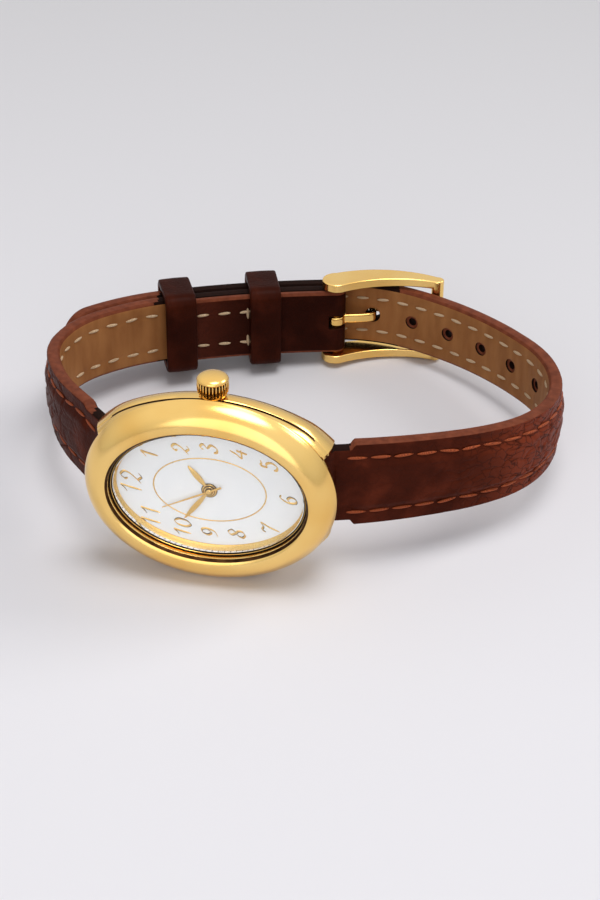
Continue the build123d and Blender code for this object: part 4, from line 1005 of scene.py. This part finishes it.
nose, fine, tailRound = strap["noseStart"], strap["fineNose"], strap["tailRound"]
longLeather = sweepRows("longStrapLeather", "long", stations(nose, longEnd - 0.02, fine, tailRound),
                        leatherRow, leather, relief["across"])
punch(longLeather, cuts["outerRadius"], cuts["holeRadius"])
onto(longLeather, "case", "leather", "long_strap_leather", "long_strap_padding")
shortLeather = sweepRows("shortStrapLeather", "short", stations(nose, shortEnd - 0.5, fine), leatherRow,
                         leather, relief["across"])
print("strap leather made", len(longLeather.data.polygons), len(shortLeather.data.polygons))


liningLook = {"across": 28, "inset": 0.06, "wave": 0.035, "seam": 0.07, "seamWidth": 0.22}


def liningRow(side, along):
    place, _, out = frameAt(side, along)
    half = halfWidth(side, along) - liningLook["inset"]
    row, strip = [], []
    for n in range(liningLook["across"] + 1):
        v = half * (2 * n / liningLook["across"] - 1)
        inward = half - abs(v)
        depth = edgeDrop(inward)
        wave = noise.noise(Vector((along * 0.9, v * 0.12, 9.0)))
        wave += 0.5 * noise.noise(Vector((along * 2.4, v * 0.2, 2.0)))
        depth -= liningLook["wave"] * wave * soft(inward / 0.6)
        depth += liningLook["seam"] * math.exp(-((inward - relief["margin"]) / liningLook["seamWidth"]) ** 2)
        row.append(place + out * depth + Vector((0, 0, v)))
        strip.append((along, v))
    for k in (1, 0.4, -0.4, -1):
        row.append(place + out * strap["lining"] + Vector((0, 0, half * k)))
        strip.append((along, half * k))
    return row, strip


liningStart = strap["noseRadius"] + 0.03
longLining = sweepRows("longStrapLining", "long", stations(liningStart, longEnd - 0.03, 0, tailRound),
                       liningRow, lining, liningLook["across"])
punch(longLining, cuts["holeRadius"], cuts["tongueRadius"])
onto(longLining, "case", "lining", "long_strap_lining")
shortLining = sweepRows("shortStrapLining", "short", stations(liningStart, shortEnd - 1.43), liningRow,
                        lining, liningLook["across"])

# the turn-back: the leather goes round the buckle bar and back along the inside
turnBack = {"length": 24.0, "centreDepth": 0.5, "inner": 0.655, "outer": 1.4, "skived": 0.8, "skive": 1.4,
            "across": 24}
barPlace = frameAt("short", shortEnd, turnBack["centreDepth"])[0]
rows, strip, looks, run = [], [], [], 0.0
trail = []
for n in range(9):
    place, _, out = frameAt("short", shortEnd - 2.0 + n * 0.25, turnBack["centreDepth"])
    trail.append((place, out, turnBack["outer"] - 0.03, 0.25))
_, endWay, endOut = frameAt("short", shortEnd)
for n in range(1, 24):
    turn = math.pi * n / 24
    trail.append((barPlace, endOut * math.cos(turn) + endWay * math.sin(turn), turnBack["outer"], 0.13))
count = int(turnBack["length"] / 0.3)
for n in range(count + 1):
    back = turnBack["length"] * n / count
    place, _, out = frameAt("short", shortEnd - back, turnBack["centreDepth"])
    thin = soft((turnBack["length"] - back) / turnBack["skive"])
    trail.append((place, -out, turnBack["skived"] + (turnBack["outer"] - turnBack["skived"]) * thin, 0.3))
half = strap["halfBuckle"]
for place, out, outer, pace in trail:
    run += pace
    row = []
    for n in range(turnBack["across"] + 1):
        v = half * (2 * n / turnBack["across"] - 1)
        inward = half - abs(v)
        depth = outer - edgeDrop(inward)
        depth += 0.02 * noise.noise(Vector((run * 0.8, v * 0.8, 4.0)))
        row.append(place + out * depth + Vector((0, 0, v)))
        strip.append((run, v))
    for k in (1, -1):
        row.append(place + out * turnBack["inner"] + Vector((0, 0, half * k)))
        strip.append((run, half * k))
    rows.append(row)
points, faces = loft(rows)
width = turnBack["across"] + 3  # the face's points and the two behind them
lookOf = [0 if 1 <= i % width < turnBack["across"] - 1 else 1 for i in range(len(faces) - 2)] + [1, 1]
turnedLeather = makePiece("strapTurnBack", points, faces, [foldLeatherPaintedShade, edgePaint], lookOf, strip, 50)


def slotTool():
    r = turnBack["outer"] + 0.4
    return cutter([[barPlace + (endWay * c + endOut * s) * r + Vector((0, 0, v)) for c, s in circle(36)]
                   for v in (-cuts["slot"] / 2, cuts["slot"] / 2)], "slot")


for piece in (turnedLeather, shortLeather, shortLining):
    cutAway(piece, slotTool())
onto(shortLeather, "case", "leather", "short_strap_leather", "short_strap_padding")
onto(turnedLeather, "case", "leather")
onto(shortLining, "case", "lining", "short_strap_lining")
print("turn-back made")

# keepers
keepers = {
    "width": 4.5, "thickness": 1.1, "clearance": 0.4, "sideClearance": 0.2, "round": 0.6, "travel": 7.5,
    "turnBack": 0.9, "fixed": 10.7, "free": 23.3, "soften": 0.28, "spacing": 0.5, "ripple": 0.035,
}


def makeKeeper(name, offset, travel):
    along = shortEnd - offset
    place = frameAt("short", along)[0]
    near = frameAt("short", along - keepers["width"] / 2)[0]
    far = frameAt("short", along + travel + keepers["width"] / 2)[0]
    way = (far - near).normalized()
    out = Vector((way.y, -way.x, 0)) * (1 if way.y * place.x - way.x * place.y > 0 else -1)
    if out.dot(frameAt("short", along)[2]) < 0:
        out = -out
    deep = 2 * strap["thickness"] + strap["tailGap"] + keepers["turnBack"] + 2 * keepers["clearance"]
    wide = 2 * strap["halfBuckle"] + 2 * keepers["sideClearance"]
    middle = place + out * (deep / 2 - keepers["turnBack"] - keepers["clearance"])
    r, t = keepers["round"], keepers["thickness"]
    ring = []
    for sx, sz, start in ((1, 1, 0), (-1, 1, 90), (-1, -1, 180), (1, -1, 270)):
        for n in range(9):
            turn = math.radians(start + 90 * n / 8)
            ring.append((sx * (deep / 2 - r), sz * (wide / 2 - r), math.cos(turn), math.sin(turn)))
    dense = []
    for n, here in enumerate(ring):
        dense.append(here)
        ahead = ring[(n + 1) % len(ring)]
        gap = math.hypot(ahead[0] - here[0], ahead[1] - here[1])
        parts = int(gap / keepers["spacing"])
        for k in range(1, parts):
            share = k / parts
            dense.append(tuple(a + (b - a) * share for a, b in zip(here, ahead)))
    half, soften = keepers["width"] / 2, keepers["soften"]
    profile = [(-half + soften, 0), (0, -0.02), (half - soften, 0), (half - 0.06, 0.1), (half, soften),
               (half, t - soften), (half - 0.08, t - 0.08), (half - soften, t), (half * 0.5, t + 0.03),
               (0, t + 0.05), (-half * 0.5, t + 0.03), (-half + soften, t), (-half + 0.08, t - 0.08),
               (-half, t - soften), (-half, soften), (-half + 0.06, 0.1)]
    rows, strip, run = [], [], 0.0
    for n, (x, z, cx, cz) in enumerate(dense):
        last = dense[n - 1]
        run += math.hypot(x - last[0] + r * (cx - last[2]), z - last[1] + r * (cz - last[3])) if n else 0
        ripple = keepers["ripple"] * noise.noise(Vector((run * 0.5, offset, 1.0)))
        row = []
        for a, level in profile:
            reach = r + level + (ripple if level > t / 2 else 0)
            row.append(middle + out * (x + cx * reach) + Vector((0, 0, z + cz * reach)) + way * a)
            strip.append((run, a))
        rows.append(row)
    points, faces = loft(rows, closed=True)
    lookOf = [1 if i % len(profile) in (4, 14) else 0 for i in range(len(faces))]
    return makePiece(name, points, faces, [keeperLeatherPaintedShade, edgePaint], lookOf, strip, 60)


fixedKeeper = makeKeeper("fixedKeeperLoop", keepers["fixed"], 0)
onto(fixedKeeper, "case", "keeper_leather", "fixed_keeper")
freeKeeper = makeKeeper("freeKeeperLoop", keepers["free"], keepers["travel"])
onto(freeKeeper, "free_keeper", "keeper_leather", "free_keeper")
print("keepers made")

# stitches, laid along curves on the straps
stitches = {
    "pitch": 3.05, "length": 2.7, "thread": 0.235, "innerPitch": 3.05, "innerLength": 1.85, "shake": 0.10,
    "first": 4.2, "innerFirst": 4.6, "foldDepth": 0.91, "foldFirst": 0.9, "foldStep": 0.34, "foldPoints": 29,
    "foldAcross": 2.5, "crossDepth": 0.92, "crossAt": 13.25,
}


def stitchTree(name, look):
    tree, given, result = newTree(name, (
        ("Pitch", "Float"), ("Length", "Float"), ("Thread", "Float"), ("Seed", "Int")))
    spaced = step(tree, "GeometryNodeResampleCurve", {
        "Curve": given.outputs[0], "Length": given.outputs["Pitch"]}, mode="LENGTH")
    way = step(tree, "GeometryNodeInputTangent")
    facing = step(tree, "FunctionNodeAlignRotationToVector", {"Vector": way.outputs[0]}, axis="Z")
    shake = step(tree, "FunctionNodeRandomValue", {"Seed": given.outputs["Seed"]}, data_type="FLOAT_VECTOR")
    shake.inputs[0].default_value = (-stitches["shake"], -stitches["shake"], 0)
    shake.inputs[1].default_value = (stitches["shake"], stitches["shake"], 0)
    tipped = step(tree, "FunctionNodeRotateRotation", {0: facing.outputs[0], 1: shake.outputs[0]},
                  rotation_space="LOCAL")
    ball = step(tree, "GeometryNodeMeshUVSphere", {"Segments": 8, "Rings": 6, "Radius": 0.5})
    size = step(tree, "ShaderNodeCombineXYZ", {0: given.outputs["Thread"], 1: given.outputs["Thread"],
                                               2: given.outputs["Length"]})
    laid = step(tree, "GeometryNodeInstanceOnPoints", {
        "Points": spaced.outputs[0], "Instance": ball.outputs["Mesh"], "Rotation": tipped.outputs[0],
        "Scale": size.outputs[0]})
    real = step(tree, "GeometryNodeRealizeInstances", {0: laid.outputs[0]})
    shaded = step(tree, "GeometryNodeSetShadeSmooth", {0: real.outputs[0]})
    painted = step(tree, "GeometryNodeSetMaterial", {0: shaded.outputs[0], "Material": look})
    tree.links.new(painted.outputs[0], result.inputs[0])
    return tree


def sew(name, lines, look, pitch, length, seed):
    curve = bpy.data.curves.new(name, "CURVE")
    curve.dimensions = "3D"
    for line in lines:
        spline = curve.splines.new("POLY")
        spline.points.add(len(line) - 1)
        for point, place in zip(spline.points, line):
            point.co = (*stand(place), 1)
    guide = bpy.data.objects.new(name + "Guide", curve)
    bpy.context.collection.objects.link(guide)
    addTree(guide, stitchTree(name, look), {
        "Pitch": pitch / 1000, "Length": length / 1000,
        "Thread": stitches["thread"] * 2 / 1000, "Seed": seed})
    mesh = bpy.data.meshes.new_from_object(guide.evaluated_get(bpy.context.evaluated_depsgraph_get()))
    bpy.data.objects.remove(guide)
    piece = bpy.data.objects.new(name, mesh)
    mesh.name = name
    bpy.context.collection.objects.link(piece)
    return piece


def rowOfStitches(side, first, last, sign, inner=False):
    line, here = [], first
    while here < last:
        half = halfWidth(side, here)
        place, _, out = frameAt(side, here)
        depth = 0.02 if inner else strap["thickness"] - 0.1 - relief["groove"] + 0.08
        line.append(place + out * depth + Vector((0, 0, sign * (half - relief["margin"]))))
        here += 0.4
    return line


def aroundTail(first, inner=False):
    line = rowOfStitches("long", first, longEnd - strap["tailRound"], 1, inner)
    inset = strap["halfTail"] - relief["margin"]
    start = longEnd - relief["margin"] - inset
    for n in range(1, 24):
        turn = math.pi * n / 24
        place, _, out = frameAt("long", start + inset * math.sin(turn))
        depth = 0.02 if inner else strap["thickness"] - 0.14
        line.append(place + out * depth + Vector((0, 0, inset * math.cos(turn))))
    return line + rowOfStitches("long", first, longEnd - strap["tailRound"], -1, inner)[::-1]


longStitches = sew("longStrapStitches", [aroundTail(stitches["first"])], rustThread, stitches["pitch"],
                   stitches["length"], 5)
onto(longStitches, "case", "leather")
shortRows = [rowOfStitches("short", stitches["first"], shortEnd - 6, s) for s in (1, -1)]
shortStitches = sew("shortStrapStitches", shortRows, rustThread, stitches["pitch"], stitches["length"], 6)
onto(shortStitches, "case", "leather")
insideLong = sew("longLiningStitches", [aroundTail(stitches["innerFirst"], inner=True)], creamThread,
                 stitches["innerPitch"], stitches["innerLength"], 7)
onto(insideLong, "case", "lining")
shortRows = [rowOfStitches("short", stitches["innerFirst"], shortEnd - turnBack["length"], s, True)
             for s in (1, -1)]
insideShort = sew("shortLiningStitches", shortRows, creamThread, stitches["innerPitch"],
                  stitches["innerLength"], 8)
onto(insideShort, "case", "lining")
foldRows = []
for sign in (1, -1):
    line = []
    for n in range(stitches["foldPoints"]):
        along = shortEnd - turnBack["length"] + stitches["foldFirst"] + n * stitches["foldStep"]
        place, _, out = frameAt("short", along)
        line.append(place - out * stitches["foldDepth"] + Vector((0, 0, sign * stitches["foldAcross"])))
    foldRows.append(line)
place, _, out = frameAt("short", shortEnd - stitches["crossAt"])
foldRows.append([place - out * stitches["crossDepth"] + Vector((0, 0, v / 10)) for v in range(-22, 23, 4)])
foldStitches = sew("turnBackStitches", foldRows, creamThread, stitches["innerPitch"],
                   stitches["innerLength"], 9)
onto(foldStitches, "case", "leather")
print("stitches sewn")

# buckle: two arched rails, a round end bar, and the tongue
buckle = {
    "eye": 2.1, "crest": 3.2, "middle": 3.1, "root": -70.0, "railWidth": 1.3, "railStart": 5.3,
    "barRadius": 0.6, "endRadius": 0.9, "endOffset": 14.2, "endClearance": 0.15, "soften": 0.2,
    "endRounding": ((0.03, 0.4), (0.06, 0.7), (0.16, 0.86), (0.3, 0.9)),  # in from the rail, and radius
}
eye = barPlace
endBar = frameAt("long", landing - buckle["endOffset"],
                 strap["thickness"] + buckle["endClearance"] + buckle["endRadius"])[0]
slope = math.atan2(endBar.y - eye.y, endBar.x - eye.x)


def off(bearing, distance, start):
    return start + Vector((math.cos(bearing), math.sin(bearing), 0)) * distance


def arcThrough(a, b, c, steps):
    d = 2 * (a.x * (b.y - c.y) + b.x * (c.y - a.y) + c.x * (a.y - b.y))
    sq = [p.x ** 2 + p.y ** 2 for p in (a, b, c)]
    centre = Vector(((sq[0] * (b.y - c.y) + sq[1] * (c.y - a.y) + sq[2] * (a.y - b.y)) / d,
                     (sq[0] * (c.x - b.x) + sq[1] * (a.x - c.x) + sq[2] * (b.x - a.x)) / d, 0))
    first, last = (math.atan2(p.y - centre.y, p.x - centre.x) for p in (a, c))
    turn = (last - first + math.pi) % (2 * math.pi) - math.pi
    r = (a - centre).length
    return [off(first + turn * n / steps, r, centre) for n in range(steps + 1)]


middle = (eye + endBar) / 2
quarter = math.pi / 2
top = arcThrough(off(slope + quarter, buckle["eye"], eye), off(slope + quarter, buckle["crest"], middle),
                 off(slope + quarter, buckle["endRadius"], endBar), 36)
under = arcThrough(off(slope - quarter, buckle["endRadius"], endBar),
                   off(slope + quarter, buckle["crest"] - buckle["middle"], middle),
                   off(slope + math.radians(buckle["root"]), buckle["eye"], eye), 36)
nose = [off(slope + quarter - math.pi * n / 12, buckle["endRadius"], endBar) for n in range(1, 12)]
sweep = math.radians(270 + buckle["root"])
heel = [off(slope + math.radians(buckle["root"]) - sweep * n / 24, buckle["eye"], eye) for n in range(1, 24)]
outline = top + nose + under + heel
points, faces = [], []
for sign in (1, -1):
    levels = (buckle["railStart"], buckle["railStart"] + buckle["railWidth"])
    rows = [[p + Vector((0, 0, sign * z)) for p in outline] for z in levels]
    gather(points, faces, loft(rows))
reach = buckle["railStart"] + buckle["railWidth"]
ends = [(-reach + gap, r) for gap, r in buckle["endRounding"]]
ends += [(reach - gap, r) for gap, r in buckle["endRounding"][::-1]]
barRows = [[endBar + Vector((r * c, r * s, z)) for c, s in circle(40)] for z, r in ends]
frameRails = makePiece("buckleRails", points, faces, [gold])
bevel = frameRails.modifiers.new("soften", "BEVEL")
bevel.width, bevel.segments, bevel.limit_method = buckle["soften"] / 1000, 4, "ANGLE"
bevel.angle_limit, bevel.harden_normals = math.radians(50), True
settle(frameRails)
onto(frameRails, "buckle_frame", "gold", "buckle_frame")
points, faces = loft(barRows)
frameBar = makePiece("buckleEndBar", points, faces, [gold], sharp=60)
onto(frameBar, "buckle_frame", "gold", "buckle_frame")

tongue = {
    "thickness": 0.7, "width": 1.4, "under": 0.6, "over": 0.35, "overhang": 1.2, "restGap": 0.1,
    "squareness": 0.6,
}
tongueAlong = landing - cuts["tongueOffset"]
t = tongue["thickness"]
curl = buckle["barRadius"] + 0.05 + t / 2
underSpot = frameAt("long", tongueAlong, -tongue["under"])[0]
overSpot = frameAt("long", tongueAlong, strap["thickness"] + tongue["over"] + t / 2)[0]
endOutward = frameAt("long", landing - buckle["endOffset"])[2]
restSpot = endBar + endOutward * (buckle["endRadius"] + t / 2 + tongue["restGap"])
tip = restSpot + (restSpot - overSpot).normalized() * tongue["overhang"]
aim = (underSpot - eye).normalized()
lead = math.atan2(aim.y, aim.x)
loop = [off(lead + math.radians(70 + 290 * n / 14), curl, eye) for n in range(14)]
shank = [eye + aim * curl, eye + aim * (curl + 0.8), underSpot, (underSpot + overSpot) / 2, overSpot,
         restSpot, tip]
line = smoothLine(loop + shank, 6)
rows = []
for n, here in enumerate(line):
    way = (line[min(n + 1, len(line) - 1)] - line[max(n - 1, 0)]).normalized()
    side = Vector((-way.y, way.x, 0))
    left = (len(line) - 1 - n) / 10
    slim = min(1, 0.45 + left) if left < 1 else 1
    power = tongue["squareness"]
    rows.append([here + side * t / 2 * slim * (abs(c) ** power * math.copysign(1, c))
                 + Vector((0, 0, tongue["width"] / 2 * slim * abs(s) ** power * math.copysign(1, s)))
                 for c, s in circle(20)])
points, faces = loft(rows)
tonguePiece = makePiece("buckleTongue", points, faces, [gold], sharp=60)
onto(tonguePiece, "tongue", "gold", "tongue")
print("buckle made")

# floor, world and lamps
studio = {
    "near": (0.86, 0.845, 0.88), "far": (0.66, 0.65, 0.66), "shadeFrom": (-0.04, 0.20), "floorSize": 3.0,
    "floorHeight": -2e-5,  # just under the part
    "key": {"towards": (0.66, 0.44, 0.58), "spread": 0.4, "power": 0.78, "colour": (1.0, 0.985, 0.96)},
    "soft": {"place": (0.10, -0.03, 0.60), "size": 0.34, "power": 1.65},
    "front": {"place": (0.02, -0.62, 0.30), "size": 0.7, "power": 1.15},
    "skyLight": 0.34,
    "seenSky": ((0.0, 0.62), (0.25, 0.76), (0.7, 1.0)),
}
floorMat, floorShader = startMaterial("floorPaper")
place = objectPlace(floorMat, (1, 1, 1))
cloud = grainOf(floorMat, place, 2.5, 2)
depth = add(floorMat, "SeparateXYZ", {0: place}).outputs[1]
low, high = studio["shadeFrom"]
# the floor is painted darker towards the back: painted shade where the light falls off
fade = add(floorMat, "MapRange", {0: depth, 1: low, 2: high, 3: 0.0, 4: 1.0}).outputs[0]
tone = blend(floorMat, fade, studio["near"], studio["far"])
soiled = blend(floorMat, spread(floorMat, cloud, 0.0, 0.10), tone, studio["far"])
join(floorMat, soiled, floorShader.inputs["Base Color"])
floorShader.inputs["Roughness"].default_value = 0.8
floorShader.inputs["Specular IOR Level"].default_value = 0.15
half = studio["floorSize"] / 2
floorMesh = bpy.data.meshes.new("floor")
corners = [(x * half, y * half, studio["floorHeight"]) for x, y in ((-1, -1), (1, -1), (1, 1), (-1, 1))]
floorMesh.from_pydata(corners, [], [(0, 1, 2, 3)])
floorMesh.materials.append(floorMat)
floor = bpy.data.objects.new("floor", floorMesh)
bpy.context.collection.objects.link(floor)

world = bpy.data.worlds.new("studio")
bpy.context.scene.world = world
world.use_nodes = True
tree = world.node_tree
tree.nodes.clear()


def worldStep(kind, *feeds, **settings):
    made = tree.nodes.new("ShaderNode" + kind)
    for key, value in settings.items():
        setattr(made, key, value)
    for index, source in enumerate(feeds):
        if source is not None:
            tree.links.new(source, made.inputs[index])
    return made


rise = worldStep("ValToRGB", worldStep("SeparateXYZ", worldStep("TexCoord").outputs["Generated"]).outputs[2])
rise.color_ramp.elements.new(0.5)
for element, (place, level) in zip(rise.color_ramp.elements, studio["seenSky"]):
    element.position = place
    element.color = (level, level, level * 1.01, 1)
seen = worldStep("Background", rise.outputs[0])
lit = worldStep("Background")
lit.inputs[0].default_value = (0.96, 0.97, 1.0, 1)
lit.inputs[1].default_value = studio["skyLight"]
rays = worldStep("LightPath").outputs
either = worldStep("Math", rays["Is Camera Ray"], rays["Is Glossy Ray"], operation="MAXIMUM").outputs[0]
anyOfThem = worldStep("Math", either, rays["Is Transmission Ray"], operation="MAXIMUM").outputs[0]
mix = worldStep("MixShader", anyOfThem, lit.outputs[0], seen.outputs[0])
worldStep("OutputWorld", mix.outputs[0])

key = bpy.data.lights.new("key", "SUN")
key.energy, key.angle, key.color = studio["key"]["power"], studio["key"]["spread"], studio["key"]["colour"]
lamps = [(key, studio["key"]["towards"])]
for name in ("soft", "front"):
    box = bpy.data.lights.new(name, "AREA")
    box.shape, box.size, box.energy = "DISK", studio[name]["size"], studio[name]["power"]
    lamps.append((box, studio[name]["place"]))
for lamp, place in lamps:
    lampObject = bpy.data.objects.new(lamp.name, lamp)
    lampObject.location = place
    lampObject.rotation_euler = Vector(place).to_track_quat("Z", "Y").to_euler()
    bpy.context.collection.objects.link(lampObject)
print("studio set")
